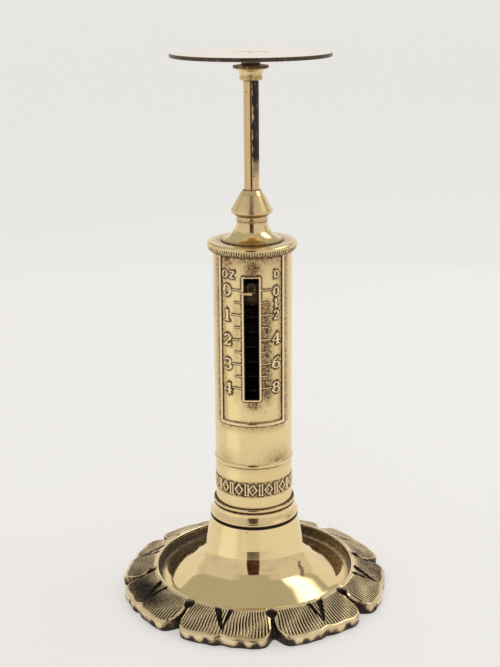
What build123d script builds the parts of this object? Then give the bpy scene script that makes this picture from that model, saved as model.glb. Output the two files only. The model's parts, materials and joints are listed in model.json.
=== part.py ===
from build123d import *

# Candlestick letter balance: a brass spring scale that weighs letters on a round pan.
#
# The pan stands on a rod that slides down through a turned cap into a slotted column. A coil
# spring in the column carries the rod, and a pointer on the rod reads along the slot.
#
# Millimetres. +Z is up, the origin is on the axis at the surface that the foot stands on, and the
# slot faces -Y.

import os
from math import atan2, cos, degrees, radians, sin, tan

# Fits
SOLDER_GAP = 0.05  # radial gap between pieces that are soldered or screwed together
GUIDE_GAP = 0.05  # radial gap between the rod and its long bore
PISTON_GAP = 0.15  # radial gap between the carrier and the tube
STOP_GAP = 0.05  # gap left at the top stop, where the washer rests

# Scale and travel
OUNCES = 4
OUNCE_STEP = 7.25
OVER_TRAVEL = 1.0  # the pan can go this far past the last line
TRAVEL_SPARE = 0.4  # gap left between boss and cone at full travel
POINTER_DROP = 0.7  # the pointer rests this far below the zero line
TICK_HEIGHT = 0.32
TICK_STANDS_OUT = 0.16
TICK_LONG = 3.1
TICK_SHORT = 2.2

# Column tube
TUBE_RADIUS = 11.4
TUBE_WALL = 1.0
TUBE_LENGTH = 75.7
PANEL_HALF_ANGLE = 49.0
PANEL_DEPTH = 0.2
PANEL_BELOW_SLOT = 7.35
BORDER_WIDTH = 0.95
BORDER_HEIGHT = 0.12
BEAD_FOOT = 12.5  # from the tube's lower end to the bead ring
BEAD_HEIGHT = 1.4
BEAD_STANDS_OUT = 0.33

# Slot
SLOT_WIDTH = 4.1
SLOT_BELOW_TOP = 5.9  # from the tube's upper end to the slot
SLOT_ABOVE_ZERO = 3.4
SLOT_SPARE = 1.6  # from the pointer's lowest place to the slot's lower end
FRAME_WIDTH = 0.7
FRAME_STANDS_OUT = 0.42

# Socket, collar and ring nut that join the foot to the column
SPIGOT_SET_IN = 2.3  # how much smaller than the tube the screwed spigot is
SPIGOT_WALL = 1.6
SPIGOT_BELOW = 3.9
COLLAR_HEIGHT = 4.25
COLLAR_EDGE = 0.55
SOCKET_BEAD_STANDS_OUT = 0.85
SOCKET_BEAD_HEIGHT = 1.45
SOCKET_SPIGOT = 6.7
NUT_WALL = 2.15
NUT_HEIGHT = 3.4
NUT_KEY_WIDTH = 2.0
NUT_KEY_DEPTH = 0.6

# Dish and trumpet foot, one spun shell
SHELL = 1.05
DISH_FLOOR = 3.4
DISH_WIDTH = 3.0  # flat part of the floor, up to the rim
DISH_TUCK = 0.95  # how far the dish's wall stands out under the rim's lip
DISH_CORNER = 1.5
BOWL_SPREAD = 7.0
BOWL_HEIGHT = 4.6  # the sloping part of the dish starts this far above its floor
BOWL_BEND = 4.0
FLARE_SPREAD = 4.0
FLARE_HEIGHT = 4.2
FLARE_FOOT_BEND = 10.0
WAIST_SPREAD = 0.9
WAIST_HEIGHT = 3.6
FLARE_BEND = 7.0
STEM_SPREAD = 1.3
STEM_BEND = 14.0
STEM_STANDS_OUT = 1.8  # how much wider than the tube the trumpet's top is
TRUMPET_TOP = 23.6
TRUMPET_EDGE = 0.3
FLANGE_THICKNESS = 1.2

# Petal rim
PETALS = 8
PETAL_TURN = 10.4  # degrees from the front to the first gap between petals
PETAL_LENGTH = 11.9
NOTCH_DEPTH = 4.6
NOTCH_HALF_WIDTH = 2.6
PETAL_CORNER = 1.4
PETAL_EDGE_HEIGHT = 2.5
PETAL_CROWN = 1.5  # how far the petal's arched back stands above a straight one
RIM_HEIGHT = 7.0
RIM_EDGE = 0.3
LIP_DEPTH = 0.9
RIM_WALL = 1.9
RING_WIDTH = 2.4
PIT_RADIUS = 1.4
PIT_FROM_RIM = 2.8
PIT_DEPTH = 1.5
GROOVE_WIDTH = 1.3
GROOVE_DEPTH = 0.9
GROOVE_SLOPE = 20.0  # degrees that each groove falls towards the edge

# Cap
CAP_RING_STANDS_OUT = 1.5
CAP_RING_HEIGHT = 2.9
CAP_SPIGOT = 4.0
FINIAL_SPIGOT_RADIUS = 7.0
FINIAL_BASE_STEP = 1.9
FINIAL_FLARE_HEIGHT = 5.6
NECK_WALL = 2.21
NECK_HEIGHT = 1.4
CONE_STANDS_OUT = 1.52  # how much wider than the neck the cone's edge is
CONE_UNDERCUT = 0.8  # height of the hollow between neck and cone
CONE_EDGE = 0.85
CONE_HEIGHT = 4.45
CONE_TOP_WALL = 1.18
CONE_CROWN = 1.2
CONE_LAND = 0.5  # width of the flat land round the rod's hole
STOP_BELOW_RING = 5.65  # the finial's spigot reaches this far below the cap ring's seat

# Rod, pan and boss
ROD_RADIUS = 2.17
ROD_IN_BOSS = 2.4
ROD_TAIL = 0.9
PAN_RADIUS = 22.35
PAN_THICKNESS = 1.1
BOSS_HEIGHT = 6.3
BOSS_WALL = 1.1
BOSS_FOOT = 1.0  # height of the bead at the boss's lower end
BOSS_LIP_STANDS_OUT = 1.7
BOSS_LIP_PLACE = 3.2  # from the boss's lower end to its lip
BOSS_LIP = 0.8
BOSS_NECK_WALL = 1.15
RIVET_HEAD_RADIUS = 4.7
RIVET_HEAD = 0.6
RIVET_SHANK = 1.4

# Carrier, washer, nut, pointer
WASHER_HEIGHT = 1.1
WASHER_WIDTH = 3.4
HUB_WALL = 2.8
HUB_HEIGHT = 0.9  # the hub stands this far above the carrier's rim
CARRIER_HEIGHT = 5.1
CARRIER_RECESS = 2.6
CARRIER_RIM = 3.2
CARRIER_FLAT = 0.4  # depth of the flat that the pointer's foot lies on
ROD_NUT_WALL = 1.3
ROD_NUT_HEIGHT = 2.6
BLADE_HEIGHT = 0.75
BLADE_THICKNESS = 0.5
BLADE_REACH = 2.95
BLADE_CLEAR = 0.35
ARM_WIDTH = 0.6
POINTER_FOOT_WIDTH = 2.4
POINTER_FOOT_HEIGHT = 3.0
POINTER_FOOT = 0.7
SCREW_HEAD_RADIUS = 0.8
SCREW_HEAD = 0.45
SCREW_DRIVE = 0.25
SCREW_RADIUS = 0.45
SCREW_LENGTH = 3.0

# Spring and its seat
WIRE = 0.7
COILS = 12
COIL_GAP = 1.25  # from the outside of the coils to the tube
SEAT_HEIGHT = 2.4
SEAT_HOLE = 2.0
PIP_GAP = 1.05
PIP_HEIGHT = 1.2

# Radii that follow from the sizes above
TUBE_BORE = TUBE_RADIUS - TUBE_WALL
PANEL_RADIUS = TUBE_RADIUS - PANEL_DEPTH
FRAME_RADIUS = PANEL_RADIUS + FRAME_STANDS_OUT
SPIGOT_RADIUS = TUBE_RADIUS - SPIGOT_SET_IN
SOCKET_BEAD_RADIUS = TUBE_RADIUS + SOCKET_BEAD_STANDS_OUT
STEM_RADIUS = TUBE_RADIUS + STEM_STANDS_OUT
WAIST_RADIUS = STEM_RADIUS + STEM_SPREAD
FLARE_RADIUS = WAIST_RADIUS + WAIST_SPREAD
BOWL_RADIUS = FLARE_RADIUS + FLARE_SPREAD
FLOOR_RADIUS = BOWL_RADIUS + BOWL_SPREAD
RIM_RADIUS = FLOOR_RADIUS + DISH_WIDTH
FOOT_RADIUS = RIM_RADIUS + PETAL_LENGTH
CAP_RING_RADIUS = TUBE_RADIUS + CAP_RING_STANDS_OUT
ROD_BORE = ROD_RADIUS + GUIDE_GAP
NECK_RADIUS = ROD_BORE + NECK_WALL
CONE_RADIUS = NECK_RADIUS + CONE_STANDS_OUT
BOSS_RADIUS = ROD_RADIUS + BOSS_WALL
BOSS_LIP_RADIUS = BOSS_RADIUS + BOSS_LIP_STANDS_OUT
CARRIER_RADIUS = TUBE_BORE - PISTON_GAP
CARRIER_FRONT = CARRIER_RADIUS - CARRIER_FLAT
COIL_RADIUS = TUBE_BORE - COIL_GAP - WIRE / 2
PIP_RADIUS = COIL_RADIUS - WIRE / 2 - PIP_GAP

# Heights that follow from the sizes above
TRAVEL = OUNCES * OUNCE_STEP + OVER_TRAVEL
COLLAR_TOP = TRUMPET_TOP + COLLAR_HEIGHT
TUBE_FOOT = COLLAR_TOP + SOCKET_BEAD_HEIGHT
TUBE_TOP = TUBE_FOOT + TUBE_LENGTH
SLOT_TOP = TUBE_TOP - SLOT_BELOW_TOP
ZERO = SLOT_TOP - SLOT_ABOVE_ZERO
POINTER_HEIGHT = ZERO - POINTER_DROP
SLOT_BOTTOM = POINTER_HEIGHT - TRAVEL - SLOT_SPARE
PANEL_BOTTOM = SLOT_BOTTOM - PANEL_BELOW_SLOT
BEAD_BOTTOM = TUBE_FOOT + BEAD_FOOT
RING_TOP = TUBE_TOP + CAP_RING_HEIGHT
FINIAL_BOTTOM = TUBE_TOP - STOP_BELOW_RING
NECK_BOTTOM = RING_TOP + FINIAL_FLARE_HEIGHT
CONE_BOTTOM = NECK_BOTTOM + NECK_HEIGHT + CONE_UNDERCUT
CAP_TOP = CONE_BOTTOM + CONE_EDGE + CONE_HEIGHT + CONE_CROWN
BOSS_BOTTOM = CAP_TOP + TRAVEL + TRAVEL_SPARE
PAN_BOTTOM = BOSS_BOTTOM + BOSS_HEIGHT
PAN_TOP = PAN_BOTTOM + PAN_THICKNESS
WASHER_TOP = FINIAL_BOTTOM - STOP_GAP
HUB_TOP = WASHER_TOP - WASHER_HEIGHT
CARRIER_TOP = HUB_TOP - HUB_HEIGHT
CARRIER_BOTTOM = CARRIER_TOP - CARRIER_HEIGHT
ROD_BOTTOM = CARRIER_BOTTOM - ROD_NUT_HEIGHT - ROD_TAIL
SCREW_AXIS = POINTER_HEIGHT + BLADE_HEIGHT + 0.75 * SCREW_HEAD_RADIUS
SOCKET_TOP = TUBE_FOOT + SOCKET_SPIGOT
SEAT_TOP = SOCKET_TOP + SEAT_HEIGHT


def turned(*edges):
    """A solid of revolution about Z from the edges of its half section, in (radius, height)."""
    section = Plane.XZ * make_face(edges)
    return revolve(section, axis=Axis.Z)


def ring(inner, outer, bottom, top):
    """A plain ring between two radii and two heights."""
    return turned(
        Polyline((inner, bottom), (outer, bottom), (outer, top), (inner, top), close=True)
    )


def front_block(half_width, depth_from, depth_to, bottom, top, centre=0.0):
    """A block in front of the axis, between two distances from the axis."""
    block = Box(
        2 * half_width,
        depth_to - depth_from,
        top - bottom,
        align=(Align.CENTER, Align.MAX, Align.MIN),
    )
    return Pos(centre, -depth_from, bottom) * block


def petal_outline():
    """The foot's outline: a circle with a rounded notch between each two petals."""
    outline = Circle(FOOT_RADIUS)
    for turn in range(PETALS):
        angle = radians(PETAL_TURN - 90 + 360 / PETALS * turn)
        inward = Vector(cos(angle), sin(angle))
        across = Vector(-sin(angle), cos(angle))
        tip = inward * (FOOT_RADIUS - NOTCH_DEPTH)
        mouth = inward * (FOOT_RADIUS * 1.02)
        outline -= Polygon(
            tip,
            mouth + across * NOTCH_HALF_WIDTH,
            mouth - across * NOTCH_HALF_WIDTH,
            align=None,
        )
    return fillet(outline.vertices(), PETAL_CORNER)


def make_petal_rim():
    """The cast rim: a hollow ring of petals with a lip that the dish sits under."""
    edge_inner = FOOT_RADIUS - RING_WIDTH
    seat_radius = RIM_RADIUS + DISH_TUCK
    lip_bottom = RIM_HEIGHT - LIP_DEPTH
    web_inner = seat_radius + RIM_WALL
    web_bottom = PETAL_EDGE_HEIGHT + 2.0
    back_inner = (RIM_RADIUS + 3 * RIM_EDGE, RIM_HEIGHT)
    back_outer = (FOOT_RADIUS - 1.0, PETAL_EDGE_HEIGHT + 0.6)
    back_middle = (
        (back_inner[0] + back_outer[0]) / 2 + PETAL_CROWN / 3,
        (back_inner[1] + back_outer[1]) / 2 + PETAL_CROWN / 2,
    )
    body = turned(
        ThreePointArc(back_inner, back_middle, back_outer),
        Polyline(
            back_outer,
            (FOOT_RADIUS, PETAL_EDGE_HEIGHT),
            (FOOT_RADIUS, 0.6),
            (FOOT_RADIUS - 0.4, 0),
            (edge_inner, 0),
            (edge_inner, 0.9),
            (edge_inner - 1.4, PETAL_EDGE_HEIGHT),
            (web_inner + 1.0, web_bottom),
            (web_inner, web_bottom),
            (web_inner, 1.4),
            (seat_radius, 1.4),
            (seat_radius, lip_bottom),
            (RIM_RADIUS, lip_bottom),
            (RIM_RADIUS, RIM_HEIGHT - RIM_EDGE),
            back_inner,
        ),
    )
    body &= extrude(petal_outline(), RIM_HEIGHT)
    pit_place = RIM_RADIUS + PIT_FROM_RIM
    surface = RIM_HEIGHT - RIM_EDGE
    pit = Pos(0, -pit_place, surface - PIT_DEPTH) * Cylinder(
        PIT_RADIUS, 3 * PIT_DEPTH, align=(Align.CENTER, Align.CENTER, Align.MIN)
    )
    groove = Box(
        GROOVE_WIDTH,
        FOOT_RADIUS - pit_place,
        3 * GROOVE_DEPTH,
        align=(Align.CENTER, Align.MAX, Align.MIN),
    )
    cut = pit + Pos(0, -pit_place, surface - GROOVE_DEPTH) * Rot(GROOVE_SLOPE, 0, 0) * groove
    for turn in range(PETALS):
        body -= Rot(0, 0, PETAL_TURN + 360 / PETALS * turn) * cut
    return body


def make_dish_foot():
    """The spun dish and trumpet, with a flange at the top that the socket's nut pulls on."""
    wall = RIM_RADIUS + DISH_TUCK - SOLDER_GAP - SHELL
    stem_top = TRUMPET_TOP - TRUMPET_EDGE
    bowl_top = DISH_FLOOR + BOWL_HEIGHT
    flare_top = bowl_top + FLARE_HEIGHT
    # The floor's bend fits on the flat that the wall's corner leaves.
    room = (wall - FLOOR_RADIUS - DISH_CORNER) / tan(atan2(BOWL_HEIGHT, BOWL_SPREAD) / 2)
    floor_bend = min(BOWL_BEND, 0.9 * room)
    path = FilletPolyline(
        (STEM_RADIUS, stem_top),
        (WAIST_RADIUS, flare_top + WAIST_HEIGHT),
        (FLARE_RADIUS, flare_top),
        (BOWL_RADIUS, bowl_top),
        (FLOOR_RADIUS, DISH_FLOOR),
        (wall, DISH_FLOOR),
        (wall, RIM_HEIGHT - LIP_DEPTH - SOLDER_GAP),
        radius=[STEM_BEND, FLARE_BEND, FLARE_FOOT_BEND, floor_bend, DISH_CORNER],
    )
    shell = turned(*offset(path, amount=SHELL, side=Side.RIGHT, closed=True).edges())
    flange = turned(
        Polyline(
            (SPIGOT_RADIUS + SOLDER_GAP, TRUMPET_TOP - FLANGE_THICKNESS),
            (STEM_RADIUS - 0.1, TRUMPET_TOP - FLANGE_THICKNESS),
            (STEM_RADIUS, stem_top),
            (STEM_RADIUS - TRUMPET_EDGE, TRUMPET_TOP),
            (SPIGOT_RADIUS + SOLDER_GAP, TRUMPET_TOP),
            close=True,
        )
    )
    return shell + flange


def make_foot_collar():
    """The moulded collar between foot and column."""
    inner = SPIGOT_RADIUS + SOLDER_GAP
    waist = SOCKET_BEAD_RADIUS - 0.15
    return turned(
        Polyline(
            (waist, COLLAR_TOP),
            (inner, COLLAR_TOP),
            (inner, TRUMPET_TOP),
            (STEM_RADIUS - 0.7, TRUMPET_TOP),
            (STEM_RADIUS, TRUMPET_TOP + COLLAR_EDGE),
            (STEM_RADIUS, TRUMPET_TOP + 2 * COLLAR_EDGE),
        ),
        ThreePointArc(
            (STEM_RADIUS, TRUMPET_TOP + 2 * COLLAR_EDGE),
            (waist + 0.12, TRUMPET_TOP + COLLAR_HEIGHT / 2 + 0.2),
            (waist, COLLAR_TOP),
        ),
    )


def make_tube_socket():
    """The socket: a bead that the tube stands on, a spigot up into it and a screwed one down."""
    bottom = TRUMPET_TOP - FLANGE_THICKNESS - SPIGOT_BELOW
    bead_mid = COLLAR_TOP + SOCKET_BEAD_HEIGHT / 2
    return turned(
        Polyline(
            (TUBE_RADIUS + 0.2, TUBE_FOOT),
            (TUBE_BORE - SOLDER_GAP, TUBE_FOOT),
            (TUBE_BORE - SOLDER_GAP, SOCKET_TOP),
            (SPIGOT_RADIUS - SPIGOT_WALL, SOCKET_TOP),
            (SPIGOT_RADIUS - SPIGOT_WALL, bottom),
            (SPIGOT_RADIUS, bottom),
            (SPIGOT_RADIUS, COLLAR_TOP),
            (SOCKET_BEAD_RADIUS - 0.35, COLLAR_TOP),
        ),
        ThreePointArc(
            (SOCKET_BEAD_RADIUS - 0.35, COLLAR_TOP),
            (SOCKET_BEAD_RADIUS, bead_mid),
            (TUBE_RADIUS + 0.2, TUBE_FOOT),
        ),
    )


def make_foot_ring_nut():
    """The ring nut that draws the socket's screwed spigot down into the foot."""
    top = TRUMPET_TOP - FLANGE_THICKNESS
    nut_radius = SPIGOT_RADIUS + NUT_WALL
    nut = ring(SPIGOT_RADIUS + SOLDER_GAP, nut_radius, top - NUT_HEIGHT, top)
    key_slot = Box(2 * nut_radius + 1, NUT_KEY_WIDTH, 2 * NUT_KEY_DEPTH)
    return nut - Pos(0, 0, top - NUT_HEIGHT) * key_slot


def tube_wedge(half_angle, inner, outer, bottom, top):
    """The part of a ring that lies within an angle each side of the front."""
    reach = 2 * outer
    wedge = make_face(
        Polyline(
            (0, 0),
            (-reach * sin(radians(half_angle)), -reach * cos(radians(half_angle))),
            (0, -2 * reach),
            (reach * sin(radians(half_angle)), -reach * cos(radians(half_angle))),
            close=True,
        )
    )
    block = Pos(0, 0, bottom) * extrude(wedge, top - bottom)
    return ring(inner, outer, bottom, top) & block


def make_ticks():
    """The raised scale lines on both sides of the slot, one for each half ounce."""
    bars = []
    frame_edge = SLOT_WIDTH / 2 + FRAME_WIDTH
    for step in range(2 * OUNCES + 1):
        height = ZERO - OUNCE_STEP / 2 * step
        length = TICK_LONG if step % 2 == 0 else TICK_SHORT
        for side in (-1, 1):
            bars.append(
                front_block(
                    length / 2,
                    PANEL_RADIUS / 2,
                    2 * PANEL_RADIUS,
                    height - TICK_HEIGHT / 2,
                    height + TICK_HEIGHT / 2,
                    centre=side * (frame_edge + length / 2),
                )
            )
    skin = ring(PANEL_RADIUS - 0.1, PANEL_RADIUS + TICK_STANDS_OUT, SLOT_BOTTOM, SLOT_TOP)
    return [skin & bar for bar in bars]


def make_column_tube():
    """The slotted tube, with its sunk panel, the panel's raised border and the scale lines."""
    tube = ring(TUBE_BORE, TUBE_RADIUS, TUBE_FOOT, TUBE_TOP)
    border_angle = PANEL_HALF_ANGLE + degrees(BORDER_WIDTH / TUBE_RADIUS)
    tube += tube_wedge(
        border_angle,
        TUBE_RADIUS - 0.1,
        TUBE_RADIUS + BORDER_HEIGHT,
        PANEL_BOTTOM - BORDER_WIDTH,
        TUBE_TOP,
    )
    tube -= tube_wedge(
        PANEL_HALF_ANGLE, PANEL_RADIUS, TUBE_RADIUS + 1, PANEL_BOTTOM, TUBE_TOP + 1
    )
    for tick in make_ticks():
        tube += tick
    return tube - front_block(
        SLOT_WIDTH / 2, TUBE_BORE / 2, 2 * TUBE_RADIUS, SLOT_BOTTOM, SLOT_TOP
    )


def make_slot_frame():
    """The raised frame soldered round the slot."""
    skin = ring(PANEL_RADIUS, FRAME_RADIUS, SLOT_BOTTOM - FRAME_WIDTH, SLOT_TOP + FRAME_WIDTH)
    half = SLOT_WIDTH / 2
    outside = front_block(
        half + FRAME_WIDTH,
        PANEL_RADIUS / 2,
        2 * PANEL_RADIUS,
        SLOT_BOTTOM - FRAME_WIDTH,
        SLOT_TOP + FRAME_WIDTH,
    )
    inside = front_block(half, PANEL_RADIUS / 2, 2 * PANEL_RADIUS, SLOT_BOTTOM, SLOT_TOP)
    return (skin & outside) - inside


def make_tube_bead():
    """The half-round ring soldered on the tube above its embossed band."""
    inner = TUBE_RADIUS + SOLDER_GAP / 2
    return turned(
        Line((inner, BEAD_BOTTOM + BEAD_HEIGHT), (inner, BEAD_BOTTOM)),
        ThreePointArc(
            (inner, BEAD_BOTTOM),
            (TUBE_RADIUS + BEAD_STANDS_OUT, BEAD_BOTTOM + BEAD_HEIGHT / 2),
            (inner, BEAD_BOTTOM + BEAD_HEIGHT),
        ),
    )


def make_milled_ring():
    """The cap's ring, with a spigot down into the tube and an edge made to be gripped."""
    spigot = TUBE_BORE - SOLDER_GAP
    bore = FINIAL_SPIGOT_RADIUS + SOLDER_GAP
    return turned(
        Polyline(
            (CAP_RING_RADIUS - 0.75, RING_TOP),
            (bore, RING_TOP),
            (bore, TUBE_TOP - CAP_SPIGOT),
            (spigot, TUBE_TOP - CAP_SPIGOT),
            (spigot, TUBE_TOP),
            (TUBE_RADIUS + 0.3, TUBE_TOP),
            (CAP_RING_RADIUS - 0.35, TUBE_TOP + 0.7),
            (CAP_RING_RADIUS, TUBE_TOP + 1.6),
            (CAP_RING_RADIUS, TUBE_TOP + 2.1),
        ),
        RadiusArc(
            (CAP_RING_RADIUS, TUBE_TOP + 2.1),
            (CAP_RING_RADIUS - 0.75, RING_TOP),
            -0.9,
        ),
    )


def make_cap_finial():
    """The turned finial: spigot, flare, neck and cone, bored to guide the rod."""
    base = FINIAL_SPIGOT_RADIUS + FINIAL_BASE_STEP
    neck_top = NECK_BOTTOM + NECK_HEIGHT
    cone_edge = CONE_BOTTOM + CONE_EDGE
    shoulder = cone_edge + CONE_HEIGHT
    return turned(
        Polyline(
            (ROD_BORE, CAP_TOP),
            (ROD_BORE, FINIAL_BOTTOM),
            (FINIAL_SPIGOT_RADIUS, FINIAL_BOTTOM),
            (FINIAL_SPIGOT_RADIUS, RING_TOP),
            (base, RING_TOP),
            (base, RING_TOP + 0.3),
        ),
        ThreePointArc(
            (base, RING_TOP + 0.3),
            (NECK_RADIUS + 1.15, RING_TOP + 2.4),
            (NECK_RADIUS, NECK_BOTTOM),
        ),
        Polyline(
            (NECK_RADIUS, NECK_BOTTOM),
            (NECK_RADIUS + 0.15, NECK_BOTTOM + 0.2),
            (NECK_RADIUS, NECK_BOTTOM + 0.4),
            (NECK_RADIUS, neck_top),
            (NECK_RADIUS + 0.5, neck_top + 0.35),
            (CONE_RADIUS - 0.3, CONE_BOTTOM),
            (CONE_RADIUS, CONE_BOTTOM + 0.35),
            (CONE_RADIUS, cone_edge),
            (ROD_BORE + CONE_TOP_WALL, shoulder),
            (ROD_BORE + CONE_LAND, CAP_TOP),
            (ROD_BORE, CAP_TOP),
        ),
    )


def make_rod():
    """The rod from the nut under the carrier up into the boss."""
    length = BOSS_BOTTOM + ROD_IN_BOSS - ROD_BOTTOM
    rod = Cylinder(ROD_RADIUS, length, align=(Align.CENTER, Align.CENTER, Align.MIN))
    return Pos(0, 0, ROD_BOTTOM) * rod


def make_pan_boss():
    """The boss: a bead, a cove, a thin lip and a neck that the pan is riveted to."""
    lip = BOSS_BOTTOM + BOSS_LIP_PLACE
    rivet_hole = RIVET_SHANK + SOLDER_GAP
    socket_top = BOSS_BOTTOM + ROD_IN_BOSS + SOLDER_GAP
    return turned(
        Polyline(
            (rivet_hole, socket_top),
            (ROD_RADIUS + SOLDER_GAP, socket_top),
            (ROD_RADIUS + SOLDER_GAP, BOSS_BOTTOM),
            (BOSS_RADIUS - 0.38, BOSS_BOTTOM),
            (BOSS_RADIUS, BOSS_BOTTOM + 0.3),
            (BOSS_RADIUS, BOSS_BOTTOM + BOSS_FOOT),
            (BOSS_RADIUS - 0.1, BOSS_BOTTOM + BOSS_FOOT + 0.25),
        ),
        ThreePointArc(
            (BOSS_RADIUS - 0.1, BOSS_BOTTOM + BOSS_FOOT + 0.25),
            (BOSS_RADIUS + 0.25, lip - 0.75),
            (BOSS_LIP_RADIUS - 0.25, lip),
        ),
        Polyline(
            (BOSS_LIP_RADIUS - 0.25, lip),
            (BOSS_LIP_RADIUS, lip + 0.25),
            (BOSS_LIP_RADIUS, lip + BOSS_LIP),
            (BOSS_LIP_RADIUS - 0.35, lip + BOSS_LIP),
            (rivet_hole + BOSS_NECK_WALL, lip + BOSS_LIP + 0.15),
            (rivet_hole + BOSS_NECK_WALL, PAN_BOTTOM),
            (rivet_hole, PAN_BOTTOM),
            (rivet_hole, socket_top),
        ),
    )


def make_pan():
    """The flat round pan, sunk at its middle for the flush head of the rivet."""
    pan = ring(RIVET_SHANK + SOLDER_GAP, PAN_RADIUS, PAN_BOTTOM, PAN_TOP)
    sunk = ring(0.5, RIVET_HEAD_RADIUS + SOLDER_GAP, PAN_TOP - RIVET_HEAD, PAN_TOP + 1)
    return pan - sunk


def make_pan_rivet():
    """The rivet that fixes the pan to the boss. Its head lies flush in the pan."""
    head_bottom = PAN_TOP - RIVET_HEAD
    head_top = PAN_TOP - SOLDER_GAP
    shank_bottom = BOSS_BOTTOM + ROD_IN_BOSS + SOLDER_GAP
    return turned(
        Polyline(
            (0, head_top),
            (0, shank_bottom),
            (RIVET_SHANK, shank_bottom),
            (RIVET_SHANK, head_bottom),
            (RIVET_HEAD_RADIUS, head_bottom),
            (RIVET_HEAD_RADIUS, head_top),
            close=True,
        )
    )


def make_carrier():
    """The carrier that slides in the tube: it sits on the spring and holds rod and pointer."""
    recess = CARRIER_BOTTOM + CARRIER_RECESS
    hub_radius = ROD_RADIUS + HUB_WALL
    body = turned(
        Polyline(
            (ROD_RADIUS + SOLDER_GAP, HUB_TOP),
            (ROD_RADIUS + SOLDER_GAP, CARRIER_BOTTOM),
            (CARRIER_RADIUS, CARRIER_BOTTOM),
            (CARRIER_RADIUS, CARRIER_TOP),
            (CARRIER_RADIUS - CARRIER_RIM, CARRIER_TOP),
            (CARRIER_RADIUS - CARRIER_RIM, recess),
            (hub_radius, recess),
            (hub_radius, HUB_TOP),
            close=True,
        )
    )
    flat = front_block(
        POINTER_FOOT_WIDTH / 2 + SOLDER_GAP,
        CARRIER_FRONT,
        CARRIER_RADIUS + 1,
        CARRIER_BOTTOM - 1,
        CARRIER_TOP + 1,
    )
    screw_hole = Pos(0, -CARRIER_RADIUS, SCREW_AXIS) * Rot(90, 0, 0) * Cylinder(
        SCREW_RADIUS + SOLDER_GAP, 2 * SCREW_LENGTH
    )
    return body - flat - screw_hole


def make_washer():
    """The leather washer that meets the finial's spigot when the pan is empty."""
    return ring(ROD_RADIUS + SOLDER_GAP, ROD_RADIUS + WASHER_WIDTH, HUB_TOP, WASHER_TOP)


def make_rod_nut():
    """The hexagon nut that holds the carrier on the rod."""
    flats = RegularPolygon(ROD_RADIUS + ROD_NUT_WALL, 6, major_radius=False)
    face = flats - Circle(ROD_RADIUS + SOLDER_GAP)
    return Pos(0, 0, CARRIER_BOTTOM - ROD_NUT_HEIGHT) * extrude(face, ROD_NUT_HEIGHT)


def make_pointer():
    """The pointer: a foot on the carrier, an arm out through the slot and a blade to the left."""
    blade_back = FRAME_RADIUS + BLADE_CLEAR
    foot_bottom = POINTER_HEIGHT - BLADE_HEIGHT / 2
    foot = front_block(
        POINTER_FOOT_WIDTH / 2,
        CARRIER_FRONT,
        CARRIER_FRONT + POINTER_FOOT,
        foot_bottom,
        foot_bottom + POINTER_FOOT_HEIGHT,
    )
    arm = front_block(
        ARM_WIDTH / 2,
        CARRIER_FRONT,
        blade_back + BLADE_THICKNESS,
        foot_bottom,
        foot_bottom + BLADE_HEIGHT,
    )
    blade = front_block(
        BLADE_REACH / 2,
        blade_back,
        blade_back + BLADE_THICKNESS,
        foot_bottom,
        foot_bottom + BLADE_HEIGHT,
        centre=-BLADE_REACH / 2,
    )
    pointer = foot + arm + blade
    hole = Pos(0, -CARRIER_FRONT, SCREW_AXIS) * Rot(90, 0, 0) * Cylinder(
        SCREW_RADIUS + SOLDER_GAP, 4 * POINTER_FOOT
    )
    return pointer - hole


def make_pointer_screw():
    """The small cheese-head screw through the pointer's foot, with its driver slot."""
    lying = Location((0, -CARRIER_FRONT - POINTER_FOOT, SCREW_AXIS), (90, 0, 0))
    head = Cylinder(SCREW_HEAD_RADIUS, SCREW_HEAD, align=(Align.CENTER, Align.CENTER, Align.MIN))
    shank = Cylinder(SCREW_RADIUS, SCREW_LENGTH, align=(Align.CENTER, Align.CENTER, Align.MAX))
    slot = Pos(0, 0, SCREW_HEAD) * Box(3 * SCREW_HEAD_RADIUS, SCREW_DRIVE, SCREW_HEAD)
    return lying * (head + shank - slot)


def make_spring():
    """The coil spring between its seat and the carrier, as it stands with an empty pan."""
    clear = SOLDER_GAP + WIRE / 2
    height = CARRIER_BOTTOM - SEAT_TOP - 2 * clear
    path = Helix(pitch=height / COILS, height=height, radius=COIL_RADIUS)
    section = Plane(origin=path @ 0, z_dir=path % 0) * Circle(WIRE / 2)
    return Pos(0, 0, SEAT_TOP + clear) * sweep(section, path=path, is_frenet=True)


def make_spring_seat():
    """The plug on the socket's spigot that the spring stands on, with a pip to centre it."""
    seat = ring(SEAT_HOLE, TUBE_BORE - SOLDER_GAP, SOCKET_TOP, SEAT_TOP)
    pip = ring(SEAT_HOLE, PIP_RADIUS, SEAT_TOP, SEAT_TOP + PIP_HEIGHT)
    return seat + pip


NODES = {
    "petal_rim": make_petal_rim,
    "dish_foot": make_dish_foot,
    "foot_ring_nut": make_foot_ring_nut,
    "foot_collar": make_foot_collar,
    "tube_socket": make_tube_socket,
    "column_tube": make_column_tube,
    "tube_bead": make_tube_bead,
    "slot_frame": make_slot_frame,
    "milled_cap_ring": make_milled_ring,
    "cap_finial": make_cap_finial,
    "spring_seat": make_spring_seat,
    "spring": make_spring,
    "rod": make_rod,
    "pan": make_pan,
    "pan_boss": make_pan_boss,
    "pan_rivet": make_pan_rivet,
    "carrier": make_carrier,
    "stop_washer": make_washer,
    "rod_nut": make_rod_nut,
    "pointer": make_pointer,
    "pointer_screw": make_pointer_screw,
}

os.makedirs("parts", exist_ok=True)
for name, make in NODES.items():
    export_step(make(), f"parts/{name}.step")
print(
    f"height {PAN_TOP:.2f}, pointer at {POINTER_HEIGHT:.2f}, zero line at {ZERO:.2f}, "
    f"carrier {CARRIER_BOTTOM:.2f} to {CARRIER_TOP:.2f}, spring seat {SEAT_TOP:.2f}"
)
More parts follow.
